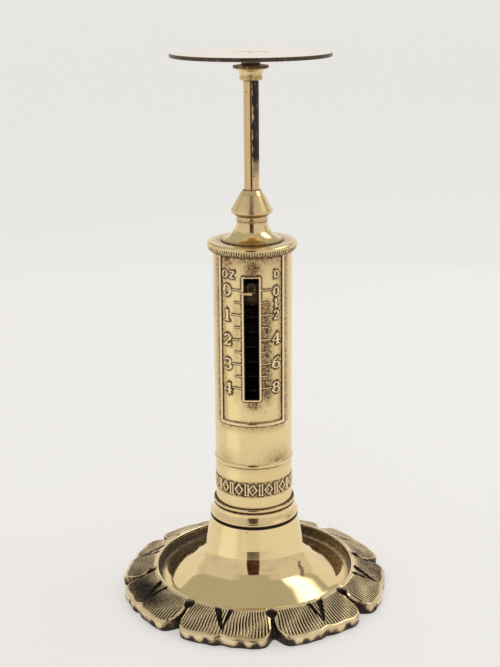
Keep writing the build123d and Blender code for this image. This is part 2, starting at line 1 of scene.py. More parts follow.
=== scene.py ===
"""Candlestick letter balance in polished brass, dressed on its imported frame.

Sizes inside this script are millimetres until a mesh is made, when they become metres. +Z is up,
the scale faces -Y, and a turn about the axis is counted from the front towards +X.
"""

import json
import logging
import math
from dataclasses import dataclass, field
from enum import Enum
from typing import Callable, Iterable, Optional, Sequence, Union

import bmesh
import bpy
import numpy as np
from mathutils import Matrix, Vector


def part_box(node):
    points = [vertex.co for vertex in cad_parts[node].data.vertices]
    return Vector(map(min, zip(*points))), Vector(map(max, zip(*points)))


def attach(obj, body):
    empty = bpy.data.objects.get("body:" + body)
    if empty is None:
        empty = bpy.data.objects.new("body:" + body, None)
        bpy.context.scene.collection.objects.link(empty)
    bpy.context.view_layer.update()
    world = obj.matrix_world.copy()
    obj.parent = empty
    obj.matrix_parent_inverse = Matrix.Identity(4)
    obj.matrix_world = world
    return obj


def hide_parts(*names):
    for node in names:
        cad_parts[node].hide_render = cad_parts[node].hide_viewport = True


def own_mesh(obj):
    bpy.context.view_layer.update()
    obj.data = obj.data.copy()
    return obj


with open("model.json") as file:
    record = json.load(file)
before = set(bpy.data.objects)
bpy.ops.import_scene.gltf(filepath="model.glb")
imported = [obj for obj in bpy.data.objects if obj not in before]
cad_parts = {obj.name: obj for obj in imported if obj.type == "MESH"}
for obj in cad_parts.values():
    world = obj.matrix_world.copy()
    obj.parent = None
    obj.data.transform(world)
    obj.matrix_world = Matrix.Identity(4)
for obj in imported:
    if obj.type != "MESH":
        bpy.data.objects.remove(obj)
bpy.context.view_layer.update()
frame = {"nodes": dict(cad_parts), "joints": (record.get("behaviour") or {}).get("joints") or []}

MM = 0.001
Point = tuple[float, float]
Colour = tuple[float, float, float]

log = logging.getLogger("letter_balance")


# == Shader building


class Value:
    """A number that varies over a surface. Arithmetic on it adds Math nodes."""

    def __init__(self, paint: "Paint", socket: bpy.types.NodeSocket) -> None:
        """Wrap an output socket.

        Args:
            paint: The material builder that owns the socket.
            socket: The output socket to wrap.
        """
        self.paint = paint
        self.socket = socket

    def _math(self, operation: str, *terms: Union["Value", float]) -> "Value":
        """Add a Math node.

        Args:
            operation: Name of the Math node's operation.
            terms: Its inputs, in order.

        Returns:
            The node's result.
        """
        node = self.paint.node("ShaderNodeMath", {"operation": operation}, dict(enumerate(terms)))
        return Value(self.paint, node.outputs[0])

    def __add__(self, other: Union["Value", float]) -> "Value":
        """self + other."""
        return self._math("ADD", self, other)

    __radd__ = __add__

    def __sub__(self, other: Union["Value", float]) -> "Value":
        """self - other."""
        return self._math("SUBTRACT", self, other)

    def __rsub__(self, other: float) -> "Value":
        """other - self."""
        return self._math("SUBTRACT", other, self)

    def __mul__(self, other: Union["Value", float]) -> "Value":
        """self * other."""
        return self._math("MULTIPLY", self, other)

    __rmul__ = __mul__

    def __truediv__(self, other: Union["Value", float]) -> "Value":
        """self / other."""
        return self._math("DIVIDE", self, other)

    def __pow__(self, exponent: float) -> "Value":
        """self to a power."""
        return self._math("POWER", self, exponent)

    def clamped(self) -> "Value":
        """self, kept between 0 and 1."""
        return self._math("MAXIMUM", self._math("MINIMUM", self, 1.0), 0.0)

    def step(self, low: float, high: float) -> "Value":
        """A smooth rise from 0 to 1.

        Args:
            low: Where the rise starts.
            high: Where it ends. Below low, the step falls instead.

        Returns:
            The smooth step of this value.
        """
        node = self.paint.node(
            "ShaderNodeMapRange",
            {"interpolation_type": "SMOOTHSTEP"},
            {"Value": self, "From Min": low, "From Max": high},
        )
        return Value(self.paint, node.outputs["Result"])


Input = Union[Value, bpy.types.NodeSocket, float, Sequence[float]]


class Paint:
    """Builds one material's node tree."""

    def __init__(self, name: str) -> None:
        """Start an empty material.

        Args:
            name: The material's name.
        """
        self.material = bpy.data.materials.new(name)
        self.material.use_nodes = True
        self.tree = self.material.node_tree
        self.tree.nodes.clear()

    def node(
        self,
        kind: str,
        settings: Optional[dict[str, object]] = None,
        values: Optional[dict[Union[str, int], Input]] = None,
    ) -> bpy.types.Node:
        """Add a node.

        Args:
            kind: The node's type.
            settings: Its settings, set before its sockets.
            values: Values or links for its input sockets, by name or number.

        Returns:
            The new node.
        """
        node = self.tree.nodes.new(kind)
        for key, setting in (settings or {}).items():
            setattr(node, key, setting)
        for key, value in (values or {}).items():
            if isinstance(value, Value):
                value = value.socket
            if isinstance(value, bpy.types.NodeSocket):
                self.tree.links.new(value, node.inputs[key])
            else:
                node.inputs[key].default_value = value
        return node

    def place(self) -> bpy.types.NodeSocket:
        """The surface point in the object's own frame, in metres."""
        return self.node("ShaderNodeTexCoord").outputs["Object"]

    def stretched(self, scale: Sequence[float]) -> bpy.types.NodeSocket:
        """The surface point with each axis scaled.

        Args:
            scale: Factor on X, Y and Z.

        Returns:
            The scaled point.
        """
        mapping = self.node("ShaderNodeMapping", values={"Vector": self.place(), "Scale": scale})
        return mapping.outputs["Vector"]

    def axes(self) -> tuple[Value, Value, Value]:
        """X, Y and Z of the surface point as three numbers."""
        split = self.node("ShaderNodeSeparateXYZ", values={0: self.place()})
        return tuple(Value(self, split.outputs[axis]) for axis in "XYZ")

    def noise(
        self,
        vector: bpy.types.NodeSocket,
        scale: float,
        detail: float = 3.0,
        roughness: float = 0.55,
    ) -> Value:
        """Noise between 0 and 1, about 0.5 on average.

        Args:
            vector: The point to read it at.
            scale: Features per metre.
            detail: Number of octaves.
            roughness: Strength of the fine octaves.

        Returns:
            The noise.
        """
        node = self.node(
            "ShaderNodeTexNoise",
            values={"Vector": vector, "Scale": scale, "Detail": detail, "Roughness": roughness},
        )
        return Value(self, node.outputs["Fac"])

    def rings(self, radius: Value, scale: float) -> Value:
        """Noise that depends on one number only, such as a distance from the axis.

        Args:
            radius: The number.
            scale: Features per unit of the number.

        Returns:
            The noise.
        """
        node = self.node(
            "ShaderNodeTexNoise",
            {"noise_dimensions": "1D"},
            {"W": radius, "Scale": scale, "Detail": 2.0},
        )
        return Value(self, node.outputs["Fac"])

    def crevice(self, reach: float) -> Value:
        """How shut in a point is by what is near it, from 0 in the open to 1.

        Args:
            reach: How far to look, in millimetres.

        Returns:
            The shut-in share.
        """
        node = self.node(
            "ShaderNodeAmbientOcclusion", {"samples": 8}, {"Distance": reach * MM}
        )
        return 1.0 - Value(self, node.outputs["AO"])

    def painted(self, name: str) -> Value:
        """A number that the mesh stores at its vertices.

        Args:
            name: The attribute's name.

        Returns:
            Its value.
        """
        node = self.node("ShaderNodeAttribute", {"attribute_name": name})
        return Value(self, node.outputs["Fac"])

    def mix(self, share: Input, low: Input, high: Input) -> bpy.types.NodeSocket:
        """Blend two colours.

        Args:
            share: Share of the second colour.
            low: The first colour.
            high: The second colour.

        Returns:
            The blended colour.
        """
        colours = [(*c, 1.0) if isinstance(c, tuple) else c for c in (low, high)]
        node = self.node(
            "ShaderNodeMix", {"data_type": "RGBA"}, {0: share, 6: colours[0], 7: colours[1]}
        )
        return node.outputs[2]

    def bump(self, height: Value, depth: float) -> bpy.types.NodeSocket:
        """A normal that follows a height.

        Args:
            height: Height between 0 and 1.
            depth: Depth of the relief, in millimetres.

        Returns:
            The normal.
        """
        node = self.node(
            "ShaderNodeBump",
            values={"Height": height, "Distance": depth * MM, "Strength": 1.0},
        )
        return node.outputs["Normal"]

    def finish(self, **sockets: Input) -> bpy.types.Material:
        """Add the shader and the output.

        Args:
            sockets: The shader's sockets, with an underscore for each space.

        Returns:
            The finished material.
        """
        values = {key.replace("_", " "): value for key, value in sockets.items()}
        shader = self.node("ShaderNodeBsdfPrincipled", values=values)
        self.node("ShaderNodeOutputMaterial", values={"Surface": shader.outputs["BSDF"]})
        return self.material


# == Finishes


class Grain(Enum):
    """The direction of the fine lines that were left by making and polishing."""

    TURNED = "rings up the axis"
    SPUN = "rings out from the axis"
    DRAWN = "lengthwise"
    CAST = "pitted skin"


@dataclass(frozen=True)
class Brass:
    """Polished brass that has tarnished where a cloth doesn't reach, and darkened by painted shade
    where a piece's painted attribute carries it.
    """

    name: str
    grain: Grain
    colour: Colour = (0.87, 0.69, 0.36)
    warm: Colour = (0.78, 0.575, 0.27)
    film: Colour = (0.42, 0.265, 0.12)
    tarnish: Colour = (0.07, 0.043, 0.026)
    gloss: float = 0.1
    cloud_share: float = 0.35
    crevice_reach: float = 1.1
    crevice_share: float = 1.35
    stain: Optional[str] = None
    stain_break: float = 0.75
    grain_depth: float = 0.0012

    def relief(self, paint: Paint) -> Value:
        """Height of the fine lines.

        Args:
            paint: The material builder.

        Returns:
            The height, between 0 and 1.
        """
        x, y, z = paint.axes()
        if self.grain is Grain.TURNED:
            return paint.rings(z, 9000.0)
        if self.grain is Grain.SPUN:
            return paint.rings((x * x + y * y) ** 0.5, 5200.0)
        if self.grain is Grain.DRAWN:
            return paint.noise(paint.stretched((1.0, 1.0, 0.03)), 5200.0, 2.0)
        return paint.noise(paint.place(), 2600.0, 4.0, 0.7)

    def material(self) -> bpy.types.Material:
        """Build the brass.

        Returns:
            The material.
        """
        paint = Paint(self.name)
        cloud = paint.noise(paint.place(), 85.0, 4.0).step(0.42, 0.72)
        fleck = paint.noise(paint.place(), 1500.0, 4.0, 0.65)
        spot = paint.noise(paint.place(), 420.0, 2.0).step(0.71, 0.75)
        dirt_and_shade = paint.crevice(self.crevice_reach) * self.crevice_share
        # The painted attribute adds tarnish and, on the dish wall, the rim's inner bevel, the scale
        # lines and the milled ring's lower flank, painted shade; the film and tarnish colours draw
        # both.
        if self.stain:
            broken = fleck.step(0.3, 0.62) * self.stain_break + (1.0 - self.stain_break)
            dirt_and_shade = dirt_and_shade + paint.painted(self.stain) * broken
        dirt_and_shade = (dirt_and_shade * (fleck + 0.5) + spot * 0.35 * cloud).clamped()
        metal = paint.mix(cloud * self.cloud_share + fleck * 0.15, self.colour, self.warm)
        filmed = paint.mix((dirt_and_shade * 1.7).clamped(), metal, self.film)
        lines = self.relief(paint)
        return paint.finish(
            Base_Color=paint.mix(dirt_and_shade.step(0.3, 0.95), filmed, self.tarnish),
            Metallic=1.0 - dirt_and_shade * 0.45,
            Roughness=(lines * 0.05 + cloud * 0.05 + dirt_and_shade * 0.38 + self.gloss).clamped(),
            Normal=paint.bump(lines + fleck * 0.4, self.grain_depth),
        )


@dataclass(frozen=True)
class RodBrass:
    """The rod's brass: bright on the handled side, stained dark in a long ragged patch."""

    name: str
    radius: float
    bottom: float
    top: float
    colour: Colour = (0.80, 0.61, 0.31)
    warm: Colour = (0.70, 0.49, 0.22)
    tarnish: Colour = (0.03, 0.018, 0.011)

    def material(self) -> bpy.types.Material:
        """Build the rod's brass.

        Returns:
            The material.
        """
        paint = Paint(self.name)
        x, y, z = paint.axes()
        fleck = paint.noise(paint.stretched((1.0, 1.0, 0.35)), 1300.0, 4.0, 0.7)
        edge = paint.noise(paint.stretched((0.0, 0.0, 1.0)), 260.0, 3.0)
        ragged = (edge - 0.5) * 0.9 + (fleck - 0.5) * 0.8
        side = (x * (1.0 / (self.radius * MM)) + ragged).step(0.08, 0.26)
        front = (y * (1.0 / (self.radius * MM))).step(0.8, 0.3)
        height = (z + (edge - 0.5) * 0.008).step(self.bottom * MM, (self.bottom + 9.0) * MM)
        patch = side * front * height * (fleck.step(0.3, 0.5) * 0.3 + 0.75)
        spots = paint.noise(paint.place(), 520.0, 2.0).step(0.68, 0.72) * 0.7
        dirt_and_shade = (patch + spots + paint.crevice(0.9) * 1.2).clamped()
        metal = paint.mix(fleck * 0.3, self.colour, self.warm)
        return paint.finish(
            Base_Color=paint.mix(dirt_and_shade, metal, self.tarnish),
            Metallic=1.0 - dirt_and_shade * 0.4,
            Roughness=(fleck * 0.08 + dirt_and_shade * 0.34 + 0.07).clamped(),
            Normal=paint.bump(fleck, 0.002),
        )


@dataclass(frozen=True)
class PanBrass:
    """The pan's mirror brass: fine circles and stray scratches, with a dark turned edge."""

    name: str
    radius: float
    colour: Colour = (0.88, 0.74, 0.46)
    warm: Colour = (0.78, 0.59, 0.29)
    edge: Colour = (0.05, 0.03, 0.018)

    def material(self) -> bpy.types.Material:
        """Build the pan's brass.

        Returns:
            The material.
        """
        paint = Paint(self.name)
        x, y, z = paint.axes()
        radius = (x * x + y * y) ** 0.5
        circles = paint.rings(radius, 4200.0)
        scratch = paint.noise(paint.stretched((1.0, 0.04, 1.0)), 2600.0, 2.0).step(0.64, 0.7)
        haze = paint.noise(paint.place(), 70.0, 4.0).step(0.4, 0.75)
        fleck = paint.noise(paint.place(), 1700.0, 3.0)
        # The pan's edge is darkened all round.
        rim = radius.step((self.radius - 0.28) * MM, (self.radius - 0.05) * MM)
        dirt_and_shade = (rim * (fleck * 0.5 + 0.72) + paint.crevice(0.7) * 1.1).clamped()
        metal = paint.mix(haze * 0.35, self.colour, self.warm)
        return paint.finish(
            Base_Color=paint.mix(dirt_and_shade, metal, self.edge),
            Metallic=1.0 - dirt_and_shade * 0.4,
            Roughness=(circles * 0.03 + scratch * 0.07 + haze * 0.04 + dirt_and_shade * 0.3 + 0.04).clamped(),
            Normal=paint.bump(circles + scratch, 0.0006),
        )


@dataclass(frozen=True)
class SpringSteel:
    """Oiled, blackened spring wire."""

    name: str = "blackened_steel"

    def material(self) -> bpy.types.Material:
        """Build the steel.

        Returns:
            The material.
        """
        paint = Paint(self.name)
        wear = paint.noise(paint.place(), 700.0, 4.0).step(0.5, 0.75)
        draw = paint.noise(paint.place(), 4000.0, 2.0)
        return paint.finish(
            Base_Color=paint.mix(wear, (0.012, 0.010, 0.009), (0.055, 0.045, 0.036)),
            Metallic=0.9,
            Roughness=(draw * 0.15 + wear * 0.1 + 0.36).clamped(),
            Normal=paint.bump(draw, 0.004),
        )


@dataclass(frozen=True)
class Leather:
    """Dark leather, pressed hard."""

    name: str = "leather"

    def material(self) -> bpy.types.Material:
        """Build the leather.

        Returns:
            The material.
        """
        paint = Paint(self.name)
        values = {"Vector": paint.place(), "Scale": 1800.0}
        cells = paint.node("ShaderNodeTexVoronoi", values=values)
        grain = Value(paint, cells.outputs["Distance"])
        mottle = paint.noise(paint.place(), 400.0, 4.0)
        return paint.finish(
            Base_Color=paint.mix(mottle, (0.05, 0.026, 0.013), (0.13, 0.075, 0.04)),
            Roughness=(mottle * 0.2 + 0.55).clamped(),
            Normal=paint.bump(grain, 0.03),
        )


@dataclass(frozen=True)
class Paper:
    """The matt pale sheet that the balance stands on, lit through from below."""

    name: str = "pale_sheet"
    colour: Colour = (0.72, 0.73, 0.735)
    dull: Colour = (0.70, 0.70, 0.71)
    glow: Colour = (0.425, 0.405, 0.40)

    def material(self) -> bpy.types.Material:
        """Build the sheet.

        Returns:
            The material.
        """
        paint = Paint(self.name)
        cloud = paint.noise(paint.place(), 6.0, 2.0)
        tooth = paint.noise(paint.place(), 1500.0, 2.0)
        return paint.finish(
            Base_Color=paint.mix(cloud * 0.25, self.colour, self.dull),
            Roughness=(tooth * 0.1 + 0.6).clamped(),
            Normal=paint.bump(tooth, 0.01),
            Emission_Color=(*self.glow, 1.0),
            Emission_Strength=1.0,
        )


@dataclass(frozen=True)
class Cloth:
    """A cloth or card of the tent, evenly lit."""

    name: str
    bright: Colour
    dim: Colour
    folds: float = 6.0

    def material(self) -> bpy.types.Material:
        """Build the cloth.

        Returns:
            The material.
        """
        paint = Paint(self.name)
        fold = paint.noise(paint.place(), self.folds, 2.0).step(0.4, 0.7)
        return paint.finish(
            Base_Color=(0.0, 0.0, 0.0, 1.0),
            Roughness=1.0,
            Specular_IOR_Level=0.0,
            Emission_Color=paint.mix(fold, self.bright, self.dim),
            Emission_Strength=1.0,
        )


# == Mesh building


def mesh_object(
    name: str,
    points: np.ndarray,
    faces: Iterable[Sequence[int]],
    sharp_angle: float = 38.0,
    **painted: np.ndarray,
) -> bpy.types.Object:
    """Make an object from points in millimetres.

    Args:
        name: The piece's name.
        points: Its vertices, one row each.
        faces: Its faces, as vertex numbers.
        sharp_angle: Edges that turn more than this many degrees stay crisp.
        painted: Numbers to store at the vertices, by attribute name.

    Returns:
        The new object.
    """
    mesh = bpy.data.meshes.new(name)
    mesh.from_pydata((np.asarray(points) * MM).tolist(), [], [list(map(int, f)) for f in faces])
    for key, numbers in painted.items():
        layer = mesh.attributes.new(key, "FLOAT", "POINT")
        layer.data.foreach_set("value", np.asarray(numbers, np.float32).ravel())
    work = bmesh.new()
    work.from_mesh(mesh)
    bmesh.ops.remove_doubles(work, verts=work.verts, dist=1e-7)
    bmesh.ops.recalc_face_normals(work, faces=work.faces)
    work.to_mesh(mesh)
    work.free()
    mesh.shade_smooth()
    mesh.set_sharp_from_angle(angle=math.radians(sharp_angle))
    made = bpy.data.objects.new(name, mesh)
    bpy.context.scene.collection.objects.link(made)
    return made


def grid_faces(
    columns: int, rows: int, close_columns: bool = False, close_rows: bool = False
) -> list[tuple[int, int, int, int]]:
    """Faces of a grid of points that are listed column by column.

    Args:
        columns: Number of columns.
        rows: Number of points in each column.
        close_columns: Whether the last column joins the first.
        close_rows: Whether each column closes on itself.

    Returns:
        The quads.
    """
    faces = []
    for column in range(columns if close_columns else columns - 1):
        here, there = column * rows, (column + 1) % columns * rows
        for row in range(rows if close_rows else rows - 1):
            after = (row + 1) % rows
            faces.append((here + row, there + row, there + after, here + after))
    return faces


def around(radius: np.ndarray, turn: np.ndarray, height: np.ndarray) -> np.ndarray:
    """Points at a distance from the axis, a turn from the front and a height.

    Args:
        radius: Distances from the axis.
        turn: Turns from the front towards +X, in radians.
        height: Heights.

    Returns:
        One point a row.
    """
    radius, turn, height = np.broadcast_arrays(radius, turn, height)
    flat = [radius * np.sin(turn), -radius * np.cos(turn), height]
    return np.stack([part.ravel() for part in flat], axis=1)


def arc(start: Point, middle: Point, end: Point, steps: int = 10) -> list[Point]:
    """Points along the circular arc through three points.

    Args:
        start: The first point.
        middle: A point between.
        end: The last point.
        steps: Number of spans.

    Returns:
        The points, both ends included.
    """
    (ax, ay), (bx, by), (cx, cy) = start, middle, end
    d = 2 * (ax * (by - cy) + bx * (cy - ay) + cx * (ay - by))
    a2, b2, c2 = ax * ax + ay * ay, bx * bx + by * by, cx * cx + cy * cy
    ux = (a2 * (by - cy) + b2 * (cy - ay) + c2 * (ay - by)) / d
    uy = (a2 * (cx - bx) + b2 * (ax - cx) + c2 * (bx - ax)) / d
    size = math.hypot(ax - ux, ay - uy)
    first, mid, last = (math.atan2(y - uy, x - ux) for x, y in (start, middle, end))
    sweep = (last - first) % math.tau
    if (mid - first) % math.tau > sweep:
        sweep -= math.tau
    angles = [first + sweep * k / steps for k in range(steps + 1)]
    return [(ux + size * math.cos(t), uy + size * math.sin(t)) for t in angles]


def rounded(corners: Sequence[Sequence[float]], spans: int = 4, closed: bool = True) -> list[Point]:
    """Round a polygon's corners.

    Args:
        corners: (radius, height) or (radius, height, corner radius) for each corner.
        spans: Spans in each rounded corner.
        closed: Whether the last corner joins the first.

    Returns:
        The rounded outline's points.
    """
    outline: list[Point] = []
    count = len(corners)
    for k, corner in enumerate(corners):
        here = np.array(corner[:2], float)
        end = not closed and k in (0, count - 1)
        if len(corner) < 3 or end:
            outline.append(tuple(here))
            continue
        before = np.array(corners[k - 1][:2], float) - here
        after = np.array(corners[(k + 1) % count][:2], float) - here
        before_length, after_length = np.linalg.norm(before), np.linalg.norm(after)
        before, after = before / before_length, after / after_length
        half = math.acos(float(np.clip(before @ after, -1, 1))) / 2
        if half > math.radians(88):
            outline.append(tuple(here))
            continue
        reach = min(corner[2] / math.tan(half), 0.48 * before_length, 0.48 * after_length)
        size = reach * math.tan(half)
        towards = (before + after) / np.linalg.norm(before + after)
        centre = here + towards * size / math.sin(half)
        top = centre - towards * size
        outline += arc(tuple(here + before * reach), tuple(top), tuple(here + after * reach), spans)
    return outline


def held(outline: Sequence[Point], grip: float = 0.07) -> list[Point]:
    """Add a point near each end of every long side, so that shading turns at the corners only.

    Args:
        outline: A closed outline.
        grip: Distance from the corner to the added point.

    Returns:
        The outline with the added points.
    """
    points: list[Point] = []
    for (ax, ay), (bx, by) in zip(outline, list(outline[1:]) + [outline[0]]):
        points.append((ax, ay))
        length = math.hypot(bx - ax, by - ay)
        if length > 5 * grip:
            for share in (grip / length, 1 - grip / length):
                points.append((ax + (bx - ax) * share, ay + (by - ay) * share))
    return points


@dataclass(frozen=True)
class Places:
    """Places on a turned surface: turns from the front, radii and heights."""

    turn: np.ndarray
    radius: np.ndarray
    height: np.ndarray


StainAndShade = Callable[[Places], np.ndarray]


def turned(
    name: str,
    outline: Sequence[Point],
    segments: int = 160,
    stain: Optional[StainAndShade] = None,
    sharp_angle: float = 38.0,
) -> bpy.types.Object:
    """Make a turned piece.

    Args:
        name: The piece's name.
        outline: The closed outline of half its section, as (radius, height).
        segments: Number of segments round the axis.
        stain: Gives the stain at each place.
        sharp_angle: Edges that turn more than this many degrees stay crisp.

    Returns:
        The new object.
    """
    section = np.array(held(outline), float)
    turn = np.linspace(0, math.tau, segments, endpoint=False)[:, None]
    points = around(section[None, :, 0], turn, section[None, :, 1])
    painted = {}
    if stain:
        grids = np.broadcast_arrays(turn, section[None, :, 0], section[None, :, 1])
        painted["stain"] = np.clip(stain(Places(*grids)), 0, 1)
    faces = grid_faces(segments, len(section), True, True)
    return mesh_object(name, points, faces, sharp_angle, **painted)


def bump_at(value: np.ndarray, centre: float, spread: float) -> np.ndarray:
    """A bell-shaped hump.

    Args:
        value: Where to read it.
        centre: Its centre.
        spread: Its half width.

    Returns:
        Values from 0 to 1.
    """
    return np.exp(-(((value - centre) / spread) ** 2))


def wrapped(turn: np.ndarray, centre: float = 0.0) -> np.ndarray:
    """Turns measured from a centre, between minus half a turn and half a turn.

    Args:
        turn: Turns, in radians.
        centre: The centre, in radians.

    Returns:
        The wrapped turns.
    """
    return (turn - centre + math.pi) % math.tau - math.pi


@dataclass(frozen=True)
class Extent:
    """The space that a CAD node takes up at rest, in millimetres."""

    radius: float
    bottom: float
    top: float

    @classmethod
    def of(cls, node: str) -> "Extent":
        """Read a node's extent.

        Args:
            node: The node's name.

        Returns:
            Its extent.
        """
        low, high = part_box(node)
        return cls(high.x / MM, low.z / MM, high.z / MM)

    @property
    def height(self) -> float:
        """Distance from bottom to top."""
        return self.top - self.bottom


@dataclass(frozen=True)
class Stroke:
    """A raised line on a cylinder: its centre line, as (across, up), and its widths."""

    line: Sequence[Point]
    widths: Union[float, Sequence[float]]
    height: float = 0.2
    closed: bool = False

    def shape(self, radius: float, root: float = 0.08) -> tuple[np.ndarray, list[tuple[int, ...]]]:
        """Work out the raised line's mesh.

        Args:
            radius: Radius of the cylinder that it stands on.
            root: How deep it reaches into the cylinder.

        Returns:
            Its points and its faces.
        """
        line = np.array(self.line, float)
        count = len(line)
        widths = np.broadcast_to(np.asarray(self.widths, float), (count,))
        if self.closed:
            along = np.roll(line, -1, 0) - line
            before, after = np.roll(along, 1, 0), along
        else:
            along = np.diff(line, axis=0)
            before = np.vstack([along[:1], along])
            after = np.vstack([along, along[-1:]])
        before = before / np.linalg.norm(before, axis=1)[:, None]
        after = after / np.linalg.norm(after, axis=1)[:, None]
        mean = before + after
        mean = mean / np.linalg.norm(mean, axis=1)[:, None]
        mitre = np.clip((mean * after).sum(1), 0.5, 1.0)
        across = np.stack([-mean[:, 1], mean[:, 0]], 1) / mitre[:, None]
        profile = ((-0.5, -root), (-0.5, 0.35), (-0.36, 0.86), (0, 1.0))
        profile += tuple((-share, rise) for share, rise in profile[-2::-1])
        points = []
        for share, rise in profile:
            flat = line + across * (widths * share)[:, None]
            lift = rise if rise < 0 else rise * self.height
            points.append(around(radius + lift, flat[:, 0] / radius, flat[:, 1]))
        lanes = len(profile)
        ordered = np.stack(points, 1).reshape(-1, 3)
        faces: list[tuple[int, ...]] = list(grid_faces(count, lanes, self.closed, True))
        if not self.closed:
            faces.append(tuple(range(lanes)))
            faces.append(tuple(range((count - 1) * lanes, count * lanes))[::-1])
        return ordered, faces


def raised(name: str, strokes: Sequence[Stroke], radius: float) -> bpy.types.Object:
    """Join raised lines into one piece.

    Args:
        name: The piece's name.
        strokes: The lines.
        radius: Radius of the cylinder that they stand on.

    Returns:
        The new object.
    """
    points, faces, count = [], [], 0
    for stroke in strokes:
        own, own_faces = stroke.shape(radius)
        points.append(own)
        faces += [tuple(count + k for k in face) for face in own_faces]
        count += len(own)
    return mesh_object(name, np.vstack(points), faces, sharp_angle=50.0)


def dress(
    piece: bpy.types.Object, material: bpy.types.Material, body: str, slot: str, *nodes: str
) -> bpy.types.Object:
    """Give a piece its finish and its body.

    Args:
        piece: The piece.
        material: Its material.
        body: The body that it rides on.
        slot: The record's material slot. Not used.
        nodes: The CAD nodes that it stands for.

    Returns:
        The same piece.
    """
    piece.data.materials.clear()
    piece.data.materials.append(material)
    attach(piece, body)
    if nodes:
        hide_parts(*nodes)
    log.info("%s rides on %s", piece.name, body)
    return piece


def repaint(node: str, material: bpy.types.Material) -> None:
    """Give a CAD node that stays in view a better material.

    Args:
        node: The node's name.
        material: The material.
    """
    slots = frame["nodes"][node].material_slots
    for slot in slots:
        slot.material = material
    log.info("%s keeps its shape", node)


def ripple(turn: np.ndarray, seed: int, waves: Sequence[int]) -> np.ndarray:
    """A seeded, closed wavy line round the axis.

    Args:
        turn: Turns, in radians.
        seed: Seed of the phases.
        waves: Number of waves of each part.

    Returns:
        Values between about -1 and 1.
    """
    draw = np.random.default_rng(seed)
    total = np.zeros_like(turn)
    for wave in waves:
        total += draw.uniform(0.5, 1.0) * np.sin(wave * turn + draw.uniform(0, math.tau))
    return total / len(waves)


# == The foot


